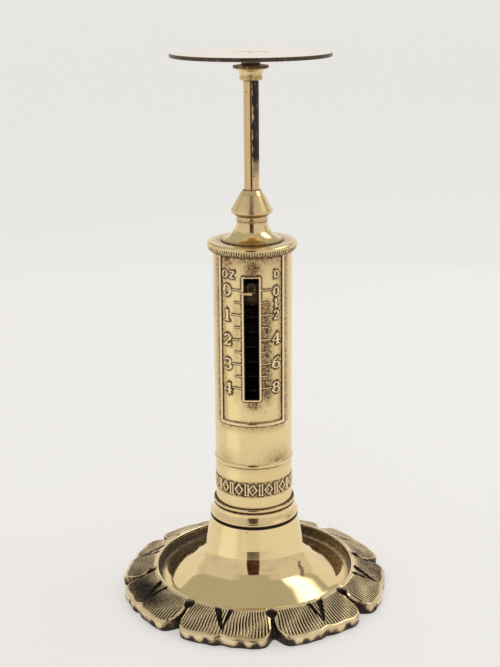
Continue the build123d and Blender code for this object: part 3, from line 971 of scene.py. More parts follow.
@dataclass
class PetalRim:
    """The cast ring of petals that the balance stands on."""

    petals: int = 8
    first_gap: float = math.radians(10.4)
    columns_per_petal: int = 224
    ribs: int = 32
    rib_depth: float = 0.4
    notch_depth: float = 4.2
    edge_height: float = 2.5
    crown: float = 0.2
    pit_radius: float = 1.4
    pit_from_rim: float = 2.35
    cut_depth: float = 1.6
    gap_half_width: float = 0.3
    gap_widening: float = 0.75
    fold_depth: float = 1.0
    fold_tip: float = 0.76
    slant: tuple[float, float, float] = (3.4, 1.05, 0.25)
    upright: tuple[float, float, float] = (-0.8, 0.65, 0.18)
    fold_meets: float = 0.4
    extent: Extent = field(default_factory=lambda: Extent.of("petal_rim"))
    dish: Extent = field(default_factory=lambda: Extent.of("dish_foot"))

    @property
    def rim_radius(self) -> float:
        """Radius of the rim's inner lip."""
        return self.dish.radius - 0.9

    def outline(self, turn: np.ndarray) -> np.ndarray:
        """Radius of the petals' outer edge.

        Args:
            turn: Turns, in radians.

        Returns:
            The radius at each turn.
        """
        share = self.share(turn)
        across = np.abs(share) * math.tau / self.petals * self.extent.radius
        notch = np.exp(-((across / 2.1) ** 2)) * self.notch_depth
        ear = np.exp(-(((across - 5.2) / 2.4) ** 2)) * 0.35
        middle = np.exp(-(((0.5 - np.abs(share)) / 0.05) ** 2)) * 0.75
        wave = ripple(turn, 4, (9, 17, 31, 47)) * 0.35
        full = self.extent.radius - 0.75 - 0.9 * self.behind(turn)
        return np.minimum(full - notch + ear - middle + wave, self.extent.radius)

    def behind(self, turn: np.ndarray) -> np.ndarray:
        """How far round the back a turn lies, from 0 at the front to 1.

        Args:
            turn: Turns, in radians.

        Returns:
            The share at each turn.
        """
        return np.clip((np.abs(wrapped(turn)) - math.radians(68)) / math.radians(30), 0, 1)

    def share(self, turn: np.ndarray) -> np.ndarray:
        """Place within the petals, from -0.5 to 0.5, with each gap at 0.

        Args:
            turn: Turns, in radians.

        Returns:
            The place at each turn.
        """
        return ((turn - self.first_gap) / math.tau * self.petals + 0.5) % 1.0 - 0.5

    def folds(self, middle: np.ndarray, lean: np.ndarray, reach: np.ndarray) -> np.ndarray:
        """The two cuts that meet in a V on each petal.

        Args:
            middle: Distance from the petal's middle, towards +X.
            lean: 1 where the slanting cut lies towards +X, -1 where it lies the other way.
            reach: Places between rim and outer edge, from 0 to 1.

        Returns:
            Depth of the cuts, from 0 to 1.
        """
        along = np.clip(reach / self.fold_tip, 0, 1.4)
        depth = np.zeros(np.broadcast_shapes(middle.shape, reach.shape))
        for start, wide, narrow in (self.slant, self.upright):
            centre = lean * (start + (self.fold_meets - start) * along)
            half = np.maximum(wide + (narrow - wide) * along, 0.0)
            inside = np.clip((half + 0.12 - np.abs(middle - centre)) / 0.24, 0, 1)
            ends = np.clip((1.04 - along) / 0.05, 0, 1) * np.clip((reach - 0.02) / 0.03, 0, 1)
            depth = np.maximum(depth, inside * ends)
        return depth

    def surface(self, turn: np.ndarray, reach: np.ndarray) -> tuple[np.ndarray, ...]:
        """The petals' upper surface.

        Args:
            turn: Turns, in radians, one a row.
            reach: Places between rim and outer edge, from 0 to 1, one a column.

        Returns:
            Radii, heights and stains, as grids.
        """
        inner = self.rim_radius + 0.95
        outer = self.outline(turn)[:, None] - 0.35
        radius = inner + (outer - inner) * reach
        whole = self.extent.radius - 1.0 - inner
        run = (radius - inner) / whole
        fall = self.extent.top - self.edge_height - 0.35
        crown = self.crown - 0.5 * self.behind(turn)[:, None]
        height = self.extent.top - fall * run + crown * np.sin(np.clip(run, 0, 1) * math.pi)
        share = self.share(turn)[:, None]
        across = np.abs(share) * math.tau / self.petals * radius
        height = height - 0.8 * bump_at(across, 0, 1.5) * np.clip(run * 2.5, 0, 1)

        number = np.floor((turn - self.first_gap) / math.tau * self.petals)[:, None]
        middle = (share - 0.5 * np.sign(share)) * math.tau / self.petals * radius
        lean = np.where(wrapped(turn, self.first_gap)[:, None] > 0, 1.0, -1.0)
        wander = 0.12 * np.sin(radius * 0.9 + number * 2.1) + 0.03 * np.sin(radius * 2.3 + number)
        comb = np.abs(np.sin(math.pi * (self.ribs * share + wander)))
        zone = np.clip((reach - 0.05) / 0.05, 0, 1) * np.clip((0.93 - reach) / 0.05, 0, 1)
        zone = zone * np.clip((across - 1.1) / 0.5, 0, 1)
        valley = np.clip(1.15 - 1.25 * comb, 0, 1) * zone
        worn = 0.72 + 0.28 * np.sin(turn[:, None] * 23 + radius * 0.8)
        height = height - self.rib_depth * valley * worn

        fold = self.folds(middle, lean, reach)
        height = height - self.fold_depth * fold * np.clip(1.2 - reach, 0.3, 1)

        past = radius - self.rim_radius - self.pit_from_rim
        away = np.hypot(past, across)
        pit = np.clip((self.pit_radius + 0.1 - away) / 0.2, 0, 1)
        half = self.gap_half_width + self.gap_widening * np.clip(reach - 0.25, 0, 1) ** 1.3
        gap = np.clip((half + 0.12 - across) / 0.24, 0, 1) * (past > 0)
        cut = np.maximum(pit, gap)
        height = height + 0.16 * bump_at(away, self.pit_radius + 0.45, 0.3) * (1 - cut)
        height = height - self.cut_depth * cut * np.clip(1.25 - 0.5 * reach, 0, 1)
        lip = bump_at(reach, 0.965, 0.028) * (1 - cut)
        height = height + 0.24 * lip
        stain = np.maximum(valley * worn * 1.6, np.maximum(fold, cut) * 1.8)
        west = wrapped(turn, math.radians(-64))[:, None]
        east = wrapped(turn, math.radians(92))[:, None]
        patch = 1.1 * bump_at(west, 0, 0.26) * bump_at(radius, 36.2, 3.0)
        patch = patch + 0.12 * bump_at(west, -0.5, 0.35) + 0.4 * bump_at(east, 0, 0.3)
        cloud = 0.3 + 0.3 * np.sin(turn * 3 + 1.1)[:, None] * np.cos(radius * 0.7 + number)
        film = (patch + cloud * 0.22) * (1 - lip) * np.clip(reach * 5 - 0.3, 0, 1)
        return radius, np.maximum(height, 1.0), np.clip(stain + film, 0, 2)

    def build(self) -> bpy.types.Object:
        """Make the rim's mesh.

        Returns:
            The rim.
        """
        columns = self.petals * self.columns_per_petal
        turn = np.linspace(0, math.tau, columns, endpoint=False)
        spans = ((0, 0.42, 15), (0.42, 0.9, 10), (0.9, 1.001, 6))
        reach = np.concatenate([np.linspace(a, b, n, endpoint=False) for a, b, n in spans])
        reach = np.append(reach, 1.0)[None, :]
        radius, height, stain = self.surface(turn, reach)
        outer = self.outline(turn)
        dent = ripple(turn, 9, (23, 37, 53, 71))
        shut = bump_at(np.abs(self.share(turn)) * math.tau / self.petals * outer, 0, 2.6)
        top = height[:, -1]
        lip, under = self.rim_radius, self.extent.top - 0.9
        seat = self.dish.radius + 0.05
        web, web_height = seat + 1.9, self.edge_height + 2.0

        sections = [
            # The outer edge darkens towards its foot.
            (outer - 0.12, top - 0.18, np.clip(shut, 0.0, 1)),
            (outer, top - 0.5, np.clip(0.1 + 0.8 * dent + shut, 0, 1.2)),
            (outer - 0.12 + 0.2 * dent, top * 0.55, np.clip(0.45 + 1.5 * dent + shut, 0, 1.2)),
            (outer - 0.15 + 0.1 * dent, 0.6, np.clip(0.95 + dent + shut, 0, 1.2)),
            (outer - 0.55, 0.0, 1.0),
            (outer - 2.4, 0.0, 1.0),
            (outer - 2.4, 0.8, 1.0),
            (web + 1.0, web_height, 1.0),
            (web, web_height, 1.0),
            (web, 1.4, 1.0),
            (seat, 1.4, 1.0),
            (seat, under, 1.0),
            # The inner bevel below the crest is painted dark: painted shade under the lip,
            # continuing the dish wall's.
            (lip, under, 0.5),
            (lip, under + 0.3, 0.6),
            (lip + 0.15, self.extent.top - 0.4, 1.2),
            (lip + 0.35, self.extent.top - 0.14, 0.0),
            (lip + 0.65, self.extent.top, 0.0),
        ]
        radii, heights, stains = (
            np.column_stack([grid] + [np.broadcast_to(part[k], columns) for part in sections])
            for k, grid in enumerate((radius, height, stain))
        )
        points = around(radii, turn[:, None], heights)
        faces = grid_faces(columns, radii.shape[1], True, True)
        return mesh_object("petal_rim_cast", points, faces, 60.0, stain=stains)

    def dress(self) -> None:
        """Make the rim and finish it."""
        finish = Brass(
            "cast_brass",
            Grain.CAST,
            colour=(0.93, 0.76, 0.46),
            warm=(0.74, 0.56, 0.30),
            film=(0.28, 0.19, 0.10),
            tarnish=(0.028, 0.019, 0.013),
            gloss=0.13,
            cloud_share=0.5,
            crevice_reach=1.2,
            crevice_share=0.7,
            stain="stain",
            stain_break=0.35,
            grain_depth=0.006,
        )
        dress(self.build(), finish.material(), "stand", "cast_brass", "petal_rim")


@dataclass
class DishFoot:
    """The spun dish and trumpet, with its ring nut inside."""

    shell: float = 1.05
    floor: float = 3.4
    corner: float = 1.5
    waist: tuple[float, float] = (1.15, 13.5)
    flare: tuple[float, float] = (2.2, 8.8)
    bowl: tuple[float, float] = (6.2, 4.6)
    floor_edge: float = 13.2
    spigot: float = 9.15
    extent: Extent = field(default_factory=lambda: Extent.of("dish_foot"))
    collar: Extent = field(default_factory=lambda: Extent.of("foot_collar"))

    def build(self) -> bpy.types.Object:
        """Make the shell's mesh.

        Returns:
            The shell.
        """
        stem, top = self.collar.radius, self.extent.top
        wall = self.extent.radius - self.shell
        lip = Extent.of("petal_rim").top - 0.95
        path = rounded(
            [
                (stem, top - 0.3),
                (stem + self.waist[0], self.floor + self.waist[1], 18.0),
                (stem + self.flare[0], self.floor + self.flare[1], 12.0),
                (stem + self.bowl[0], self.floor + self.bowl[1], 18.0),
                (stem + self.floor_edge, self.floor, 4.0),
                (wall, self.floor, self.corner),
                (wall, lip),
            ],
            spans=20,
            closed=False,
        )
        line = np.array(path)
        along = np.gradient(line, axis=0)
        along = along / np.linalg.norm(along, axis=1)[:, None]
        under = line - np.stack([-along[:, 1], along[:, 0]], 1) * self.shell
        spigot = self.spigot
        flange = [
            (stem - self.shell, top - 1.2),
            (spigot, top - 1.2),
            (spigot, top),
            (stem - 0.35, top),
            (stem - 0.06, top - 0.12),
        ]
        outline = [tuple(p) for p in line] + [tuple(p) for p in under[::-1][:-1]] + flange
        return turned("dish_and_trumpet", outline, 256, self.stain, 42.0)

    def stain(self, at: Places) -> np.ndarray:
        """Where the dish is darkened: painted shade with tarnish round its wall under the rim's
        lip, deeper on the left, and tarnish under the collar.

        Args:
            at: The places.

        Returns:
            The tarnish and painted shade at each.
        """
        wall = self.extent.radius - self.shell
        # Painted shade under the rim's lip, with tarnish: darkest at the wall, fading inward across
        # the floor and deeper on the left.
        uneven = 0.6 * np.sin(at.turn * 2 + 0.6) + 0.3 * np.sin(at.turn * 7)
        uneven = uneven + 0.2 * np.sin(at.turn * 17)
        spread = 1.7 + 0.55 * uneven
        floor = np.clip(1 - (wall - 0.5 - at.radius) / spread, 0, 1) ** 1.5
        west = 0.5 - 0.5 * np.sin(at.turn)
        side = np.clip((at.radius - wall + 0.5) / 0.4, 0, 1) * (0.2 + 0.75 * west)
        top = np.clip((at.height - self.extent.top + 0.36) / 0.04, 0, 1)
        low = floor * (0.45 + 0.4 * west) + side
        return np.maximum(low, top * (at.radius < self.collar.radius + 1))

    def dress(self) -> None:
        """Make the shell and finish it."""
        finish = Brass(
            "spun_brass",
            Grain.SPUN,
            # This dark colour draws both the tarnish and the painted shade round the dish wall.
            tarnish=(0.05, 0.042, 0.04),
            gloss=0.035,
            cloud_share=0.25,
            crevice_reach=2.0,
            crevice_share=0.25,
            stain="stain",
            stain_break=0.25,
            grain_depth=0.0005,
        )
        dress(self.build(), finish.material(), "stand", "spun_brass", "dish_foot")


@dataclass
class FootFittings:
    """The collar, the socket's bead and the ring nut."""

    collar: Extent = field(default_factory=lambda: Extent.of("foot_collar"))
    socket: Extent = field(default_factory=lambda: Extent.of("tube_socket"))
    tube: Extent = field(default_factory=lambda: Extent.of("column_tube"))
    spigot: float = 9.1
    spigot_wall: float = 1.6
    bore: float = 10.35

    def build_collar(self) -> bpy.types.Object:
        """Make the moulded collar.

        Returns:
            The collar.
        """
        radius, bottom, top = self.collar.radius, self.collar.bottom, self.collar.top
        waist = self.socket.radius - 0.12
        inner = self.spigot + 0.05
        cove = arc((radius - 0.05, bottom + 1.25), (waist + 0.16, bottom + 2.5), (waist, top), 14)
        outline = [(inner, top), (inner, bottom)]
        outline += rounded(
            [(radius - 0.75, bottom), (radius - 0.75, bottom + 0.3), (radius, bottom + 0.5, 0.2)],
            closed=False,
        )[:2]
        outline += arc((radius - 0.1, bottom + 0.5), (radius, bottom + 0.85), cove[0], 6)
        outline += cove[1:]
        return turned("collar_turned", outline, 160, self.stain)

    def stain(self, at: Places) -> np.ndarray:
        """Where the collar and the bead are tarnished: in the grooves between them.

        Args:
            at: The places.

        Returns:
            The stain at each.
        """
        below = np.clip(1 - (at.height - self.collar.bottom - 0.35) / 0.3, 0, 1)
        between = bump_at(at.height, self.collar.top, 0.3)
        above = bump_at(at.height, self.tube.bottom, 0.22)
        return np.maximum.reduce([below, between, above])

    def build_socket(self) -> bpy.types.Object:
        """Make the socket with its bead.

        Returns:
            The socket.
        """
        low, high = self.collar.top, self.tube.bottom
        bead = arc(
            (self.socket.radius - 0.4, low + 0.12),
            (self.socket.radius, (low + high) / 2 - 0.1),
            (self.tube.radius + 0.25, high - 0.02),
            12,
        )
        inner = self.spigot - self.spigot_wall
        outline = [
            (self.bore, high),
            (self.bore, self.socket.top),
            (inner, self.socket.top),
            (inner, self.socket.bottom),
            (self.spigot, self.socket.bottom),
            (self.spigot, low + 0.03),
            (self.socket.radius - 0.8, low + 0.03),
        ]
        return turned("socket_turned", outline + bead, 160, self.stain)

    def dress(self, brass: bpy.types.Material) -> None:
        """Make the fittings and finish them.

        Args:
            brass: The turned brass.
        """
        dress(self.build_collar(), brass, "stand", "turned_brass", "foot_collar")
        dress(self.build_socket(), brass, "stand", "turned_brass", "tube_socket")
        repaint("foot_ring_nut", brass)


# == The column


class Figure(Enum):
    """The numerals and letters of the scale."""

    NOUGHT = "0"
    ONE = "1"
    TWO = "2"
    THREE = "3"
    FOUR = "4"
    SIX = "6"
    EIGHT = "8"
    LETTER_O = "O"
    LETTER_Z = "Z"
    LETTER_D = "D"


@dataclass(frozen=True)
class Numerals:
    """Draws raised figures with thick and thin strokes."""

    height: float = 3.55
    width: float = 3.0
    thick: float = 0.86
    thin: float = 0.42
    relief: float = 0.3

    def loop(
        self, centre: Point, half: Point, start: float = 0.0, sweep: float = 360.0
    ) -> Stroke:
        """An oval stroke, thick at its sides and thin at its top and foot.

        Args:
            centre: The oval's centre.
            half: Half its width and half its height.
            start: Angle of the first point, in degrees.
            sweep: Angle that it covers, in degrees. A whole turn closes it.

        Returns:
            The stroke.
        """
        whole = abs(sweep) >= 360
        count = max(10, int(abs(sweep) / 13))
        angles = np.radians(start + sweep * np.arange(count + (not whole)) / count)
        line = [
            (centre[0] + half[0] * math.cos(a), centre[1] + half[1] * math.sin(a)) for a in angles
        ]
        widths = [self.thin + (self.thick - self.thin) * abs(math.cos(a)) ** 1.4 for a in angles]
        return Stroke(line, widths, self.relief, closed=whole)

    def bar(self, start: Point, end: Point, width: float) -> Stroke:
        """A straight stroke.

        Args:
            start: Its first point.
            end: Its last point.
            width: Its width.

        Returns:
            The stroke.
        """
        return Stroke([start, end], width, self.relief)

    def strokes(self, figure: Figure) -> list[Stroke]:
        """The strokes of one figure, about its own centre.

        Args:
            figure: The figure.

        Returns:
            Its strokes.
        """
        thick, thin = self.thick, self.thin
        w, h = (self.width - thick) / 2, (self.height - thin) / 2
        match figure:
            case Figure.NOUGHT | Figure.LETTER_O:
                return [self.loop((0, 0), (w, h))]
            case Figure.ONE:
                return [
                    self.bar((0, h), (0, -h), thick),
                    self.bar((-w * 0.8, h - 0.7), (0, h - 0.05), thin),
                    self.bar((-w * 0.8, -h), (w * 0.8, -h), thin),
                ]
            case Figure.TWO:
                return [
                    self.loop((0, h * 0.42), (w * 0.92, h * 0.58), 165, -215),
                    self.bar((w * 0.66, h * 0.12), (-w * 0.95, -h), thick * 0.7),
                    self.bar((-w, -h + 0.1), (w, -h + 0.1), thick * 0.75),
                    self.bar((w, -h), (w, -h + 0.9), thin),
                ]
            case Figure.THREE:
                return [
                    self.loop((0, h * 0.5), (w * 0.8, h * 0.5), 150, -240),
                    self.loop((0, -h * 0.45), (w, h * 0.55), 90, -240),
                ]
            case Figure.FOUR:
                return [
                    self.bar((w * 0.45, h), (w * 0.45, -h), thick),
                    self.bar((w * 0.3, h), (-w - 0.2, -h * 0.35), thin),
                    self.bar((-w - 0.25, -h * 0.38), (w + 0.35, -h * 0.38), thin),
                    self.bar((-w * 0.2, -h), (w * 1.1, -h), thin),
                ]
            case Figure.SIX:
                return [
                    self.loop((0, -h * 0.42), (w, h * 0.56)),
                    self.loop((w * 0.8, -h * 0.3), (w * 1.8, h * 1.28), 180, -92),
                ]
            case Figure.EIGHT:
                return [
                    self.loop((0, h * 0.5), (w * 0.82, h * 0.46)),
                    self.loop((0, -h * 0.47), (w, h * 0.53)),
                ]
            case Figure.LETTER_Z:
                return [
                    self.bar((-w, h - 0.05), (w, h - 0.05), thin),
                    self.bar((w * 0.9, h), (-w * 0.9, -h), thick),
                    self.bar((-w, -h + 0.05), (w, -h + 0.05), thin),
                ]
            case _:
                return [
                    self.bar((-w * 0.8, h), (-w * 0.8, -h), thick),
                    self.loop((-w * 0.8, 0), (w * 1.8, h), 90, -180),
                ]

    def at(self, figure: Figure, place: Point) -> list[Stroke]:
        """One figure's strokes at a place on the column.

        Args:
            figure: The figure.
            place: Its centre, as (across, up).

        Returns:
            The strokes.
        """
        moved = []
        for stroke in self.strokes(figure):
            line = [(x + place[0], y + place[1]) for x, y in stroke.line]
            moved.append(Stroke(line, stroke.widths, stroke.height, stroke.closed))
        return moved


@dataclass
class Column:
    """The slotted tube with its scale panel, frame, lines, numerals and embossed band."""

    bore: float = 10.4
    panel_depth: float = 0.2
    panel_turn: float = math.radians(49.0)
    border_turn: float = math.radians(5.2)
    border_height: float = 0.95
    panel_below_slot: float = 7.35
    frame_width: float = 0.7
    frame_rise: float = 0.4
    slot_half: float = 2.05
    tick_width: float = 0.3
    tick_rise: float = 0.24
    ounces: int = 4
    ounce_step: float = 7.25
    zero_below_slot: float = 3.4
    numeral_turn: float = math.radians(37.8)
    heading_above_zero: float = 4.3
    band_motifs: int = 15
    band_above_foot: float = 5.95
    band_height: float = 3.4
    band_sink: float = 0.1
    extent: Extent = field(default_factory=lambda: Extent.of("column_tube"))
    slot: Extent = field(default_factory=lambda: Extent.of("slot_frame"))
    bead: Extent = field(default_factory=lambda: Extent.of("tube_bead"))
    left: tuple[tuple[Figure, float], ...] = (
        (Figure.NOUGHT, 0.0),
        (Figure.ONE, 1.0),
        (Figure.TWO, 2.0),
        (Figure.THREE, 3.0),
        (Figure.FOUR, 4.0),
    )
    right: tuple[tuple[Figure, float], ...] = (
        (Figure.NOUGHT, 0.05),
        (Figure.ONE, 0.5),
        (Figure.TWO, 1.0),
        (Figure.FOUR, 1.95),
        (Figure.SIX, 2.95),
        (Figure.EIGHT, 3.97),
    )

    @property
    def radius(self) -> float:
        """The tube's outer radius."""
        return self.extent.radius

    @property
    def panel_radius(self) -> float:
        """The sunk panel's radius."""
        return self.radius - self.panel_depth

    @property
    def slot_bottom(self) -> float:
        """Height of the slot's lower end."""
        return self.slot.bottom + self.frame_width

    @property
    def slot_top(self) -> float:
        """Height of the slot's upper end."""
        return self.slot.top - self.frame_width

    @property
    def zero(self) -> float:
        """Height of the zero line."""
        return self.slot_top - self.zero_below_slot

    @property
    def panel_bottom(self) -> float:
        """Height of the panel's lower edge."""
        return self.slot_bottom - self.panel_below_slot

    def scale_strokes(self) -> list[Stroke]:
        """The scale's lines, one for each half ounce, both sides of the slot."""
        strokes = []
        start = self.slot_half + self.frame_width - 0.1
        for step in range(2 * self.ounces + 1):
            height = self.zero - self.ounce_step / 2 * step
            reach = self.panel_radius * math.radians(29.0 if step % 2 == 0 else 24.0)
            for side in (-1, 1):
                line = [(side * x, height) for x in (start, start + 1.5, reach)]
                strokes.append(Stroke(line, self.tick_width, self.tick_rise))
        return strokes

    def numeral_strokes(self) -> list[Stroke]:
        """The numerals of both scales."""
        strokes = []
        place = self.panel_radius * self.numeral_turn
        large, small = Numerals(), Numerals(height=2.9, width=2.3, thick=0.7)
        letter = Numerals(height=2.35, width=2.15, thick=0.6, thin=0.36, relief=0.22)
        for figure, ounces in self.left:
            strokes += large.at(figure, (-place, self.zero - self.ounce_step * ounces - 0.3))
        for figure, ounces in self.right:
            style = small if ounces < 1.5 else large
            strokes += style.at(figure, (place, self.zero - self.ounce_step * ounces - 0.3))
        heading = self.zero + self.heading_above_zero
        strokes += letter.at(Figure.LETTER_O, (-place - 0.75, heading))
        strokes += letter.at(Figure.LETTER_Z, (-place + 1.75, heading))
        strokes += letter.at(Figure.LETTER_D, (place + 0.2, heading))
        return strokes

    def frame_strokes(self) -> list[Stroke]:
        """The raised frame round the slot."""
        x = self.slot_half + self.frame_width / 2
        low, high = self.slot_bottom - self.frame_width / 2, self.slot_top + self.frame_width / 2
        corner = 0.35
        line = rounded([(-x, low, corner), (x, low, corner), (x, high, corner), (-x, high, corner)])
        return [Stroke(line, self.frame_width, self.frame_rise, closed=True)]

    def border_strokes(self) -> list[Stroke]:
        """The raised edge on three sides of the panel."""
        x = self.radius * (self.panel_turn + self.border_turn / 2)
        low, high = self.panel_bottom - self.border_height / 2, self.extent.top - 0.05
        side = [(-x, high), (-x, low + 10), (-x, low)]
        foot = [(-x + 2 * x * k / 24, low) for k in range(1, 24)]
        line = side + foot + [(x, low), (x, low + 10), (x, high)]
        return [Stroke(line, self.border_turn * self.radius * 0.86, 0.2)]

    def band_strokes(self) -> list[Stroke]:
        """The embossed band: lozenges between upright bars."""
        strokes = []
        middle = self.extent.bottom + self.band_above_foot
        pitch = math.tau * self.radius / self.band_motifs
        half = self.band_height / 2
        for motif in range(self.band_motifs):
            x = motif * pitch
            steps = ((-1.15, 0.0), (0.0, -half), (1.15, 0.0), (0.0, half))
            lozenge = [(x + across, middle + up) for across, up in steps]
            strokes.append(Stroke(lozenge, 0.5, 0.26, closed=True))
            for shift in (-0.42, 0.42):
                post = x + pitch / 2 + shift
                upright = [(post, middle - half), (post, middle + half)]
                strokes.append(Stroke(upright, 0.48, 0.26))
            for end in (-half, half):
                line = [(x + pitch / 2 - 0.75, middle + end), (x + pitch / 2 + 0.75, middle + end)]
                strokes.append(Stroke(line, 0.34, 0.24))
        return strokes

    def grid_turns(self) -> np.ndarray:
        """Turns of the grid's columns, with lines on the slot's and the panel's edges."""
        slot = math.asin(self.slot_half / self.radius)
        edge = 0.0035
        panel, outer = self.panel_turn, self.panel_turn + self.border_turn
        fine = np.concatenate(
            [
                np.linspace(slot, panel - edge, 46),
                [panel, panel + self.border_turn / 2, outer],
                np.linspace(outer, math.pi, 42)[1:-1],
            ]
        )
        middle = np.linspace(-slot, slot, 9)[1:-1]
        return np.concatenate([-fine[::-1], middle, fine, [math.pi]])

    def grid_heights(self) -> np.ndarray:
        """Heights of the grid's rows, with lines on the slot's and the panel's edges."""
        band = self.extent.bottom + self.band_above_foot
        sink = self.band_height / 2 + 0.75
        stops = [
            (self.extent.bottom, 3),
            (band - sink - 0.12, 1),
            (band - sink, 17),
            (band + sink, 1),
            (band + sink + 0.12, 8),
            (self.panel_bottom - self.border_height - 0.4, 5),
            (self.panel_bottom - 0.05, 1),
            (self.panel_bottom, 26),
            (self.slot_bottom, 128),
            (self.slot_top, 20),
            (self.extent.top, 0),
        ]
        rows = [
            np.linspace(low, high, spans + 1)[:-1]
            for (low, spans), (high, _) in zip(stops, stops[1:])
        ]
        return np.concatenate(rows + [[self.extent.top]])

    def nearness(
        self, turn: np.ndarray, height: np.ndarray, strokes: Sequence[Stroke], reach: float
    ) -> np.ndarray:
        """How close each grid point is to the nearest raised line.

        Args:
            turn: The grid's turns.
            height: The grid's heights.
            strokes: The raised lines.
            reach: Distance at which the nearness falls off.

        Returns:
            Nearness from 0 to 1 at each grid point.
        """
        across = turn * self.panel_radius
        best = np.full(across.shape, 1e9)
        for stroke in strokes:
            line = np.array(stroke.line + stroke.line[:1] if stroke.closed else stroke.line, float)
            half = float(np.mean(stroke.widths)) / 2
            for (ax, ay), (bx, by) in zip(line, line[1:]):
                dx, dy = bx - ax, by - ay
                share = ((across - ax) * dx + (height - ay) * dy) / (dx * dx + dy * dy)
                share = np.clip(share, 0, 1)
                away = np.hypot(across - ax - share * dx, height - ay - share * dy) - half
                best = np.minimum(best, away)
        return np.exp(-((np.maximum(best, 0) / reach) ** 2))

    def stains(self, turn: np.ndarray, height: np.ndarray) -> np.ndarray:
        """Where the tube is darkened: tarnish, and painted shade along the scale lines.

        Args:
            turn: The grid's turns.
            height: The grid's heights.

        Returns:
            Tarnish and painted shade, from 0 to 1, at each grid point.
        """
        turn = wrapped(turn)
        across = turn * self.radius
        figures = self.nearness(turn, height, self.numeral_strokes(), 0.5)
        # Each scale line gets a dark halo: painted shade along the line.
        lines = self.nearness(turn, height, self.scale_strokes(), 0.34) * 0.95
        surround = self.nearness(turn, height, self.frame_strokes(), 0.45) * 0.95
        inside = (np.abs(turn) < self.panel_turn) & (height > self.panel_bottom)
        edge = bump_at((self.panel_turn - np.abs(turn)) * self.panel_radius, 0, 0.55)
        foot = bump_at(height, self.panel_bottom, 0.45)
        rise = np.clip((self.zero - 1.5 - height) / 3, 0, 1)
        rise = rise * np.clip((height - self.slot_bottom + 3.0) / 4, 0, 1)
        patches = [
            figures,
            lines,
            surround,
            edge,
            foot,
            bump_at(height, self.slot_top + 2.6, 2.8) * bump_at(across, 0.6, 2.6) * 0.85,
            bump_at(height, self.slot_bottom - 1.9, 1.5) * bump_at(across, 0.5, 2.3) * 0.8,
            bump_at(across, 4.4, 2.0) * rise * 0.8,
            bump_at(across, -4.6, 1.2) * rise * 0.3,
            bump_at(height, self.extent.top, 2.6) * 0.55,
            bump_at(height, self.extent.top, 4.5) * bump_at(across, -7.4, 2.6) * 0.8,
            bump_at(across, -8.8, 0.9) * 0.35,
            bump_at(across, 9.0, 1.0) * 0.4,
        ]
        marks = np.maximum.reduce(patches)
        rim = self.panel_turn + self.border_turn
        beside = bump_at((np.abs(turn) - rim) * self.radius, 0, 0.5) * 0.95
        beside = np.maximum(beside, bump_at((np.abs(turn) - rim) * self.radius, 0.4, 1.6) * 0.5)
        below = bump_at(height, self.panel_bottom - self.border_height - 0.1, 0.35)
        trim = np.maximum(
            beside * (height > self.panel_bottom - self.border_height),
            below * (np.abs(turn) < rim) * 0.85,
        )
        above_bead = np.clip(1 - (height - self.bead.top) / 6.5, 0, 1) ** 1.5
        above_bead = above_bead * (height > self.bead.top - 0.5)
        low = above_bead * (0.75 * bump_at(across, 8.0, 5.0) + 0.45 * bump_at(across, -8.0, 4.0))
        groove = bump_at(height, self.bead.bottom - 0.15, 0.3) + bump_at(
            height, self.bead.top + 0.15, 0.3
        )
        low = np.maximum(low, groove * 0.9)
        pitch = math.tau / self.band_motifs
        first = [s for s in self.band_strokes() if s.line[0][0] < pitch * self.radius * 1.1]
        share = self.radius / self.panel_radius
        band = self.nearness((turn % pitch) * share, height, first, 0.55)
        middle = self.extent.bottom + self.band_above_foot
        band = band * (np.abs(height - middle) < self.band_height / 2 + 0.75)
        return np.where(inside, marks, np.maximum(trim, low)) + band * 1.1

    def build_tube(self) -> bpy.types.Object:
        """Make the tube, with its slot cut through.

        Returns:
            The tube.
        """
        turns, heights = self.grid_turns(), self.grid_heights()
        turn, height = np.meshgrid(turns, heights, indexing="ij")
        panel = (np.abs(turn) < self.panel_turn - 0.001) & (height > self.panel_bottom - 0.01)
        band_middle = self.extent.bottom + self.band_above_foot
        sunk = np.abs(height - band_middle) < self.band_height / 2 + 0.76
        outer = self.radius - self.panel_depth * panel - self.band_sink * sunk
        columns, rows = turn.shape
        inner = np.full_like(outer, self.bore)
        points = np.vstack([around(outer, turn, height), around(inner, turn, height)])
        stain = np.concatenate([self.stains(turn, height).ravel(), np.full(turn.size, 6.0)])
        shift = turn.size

        def cut(column: int, row: int) -> bool:
            """Whether a cell of the grid lies in the slot."""
            mid = math.pi if column == columns - 1 else (turns[column] + turns[column + 1]) / 2
            level = (heights[row] + heights[row + 1]) / 2
            across = abs(mid) * self.radius
            return across < self.slot_half and self.slot_bottom < level < self.slot_top

        faces = []
        for column in range(columns):
            after = (column + 1) % columns
            for row in range(rows - 1):
                if cut(column, row):
                    continue
                here, there = column * rows + row, after * rows + row
                quad = [here, there, there + 1, here + 1]
                faces.append(quad)
                faces.append([k + shift for k in quad[::-1]])
                for a, b, next_column, next_row in (
                    (quad[0], quad[1], column, row - 1),
                    (quad[1], quad[2], after, row),
                    (quad[2], quad[3], column, row + 1),
                    (quad[3], quad[0], (column - 1) % columns, row),
                ):
                    if not 0 <= next_row < rows - 1 or cut(next_column, next_row):
                        faces.append([b, a, a + shift, b + shift])
        return mesh_object("column_tube_drawn", points, faces, 30.0, stain=stain)

    def build_bead(self) -> bpy.types.Object:
        """Make the half-round ring above the band.

        Returns:
            The ring.
        """
        inner = self.radius + 0.02
        profile = arc(
            (inner, self.bead.bottom),
            (self.bead.radius, (self.bead.bottom + self.bead.top) / 2),
            (inner, self.bead.top),
            12,
        )
        return turned("bead_ring", profile)

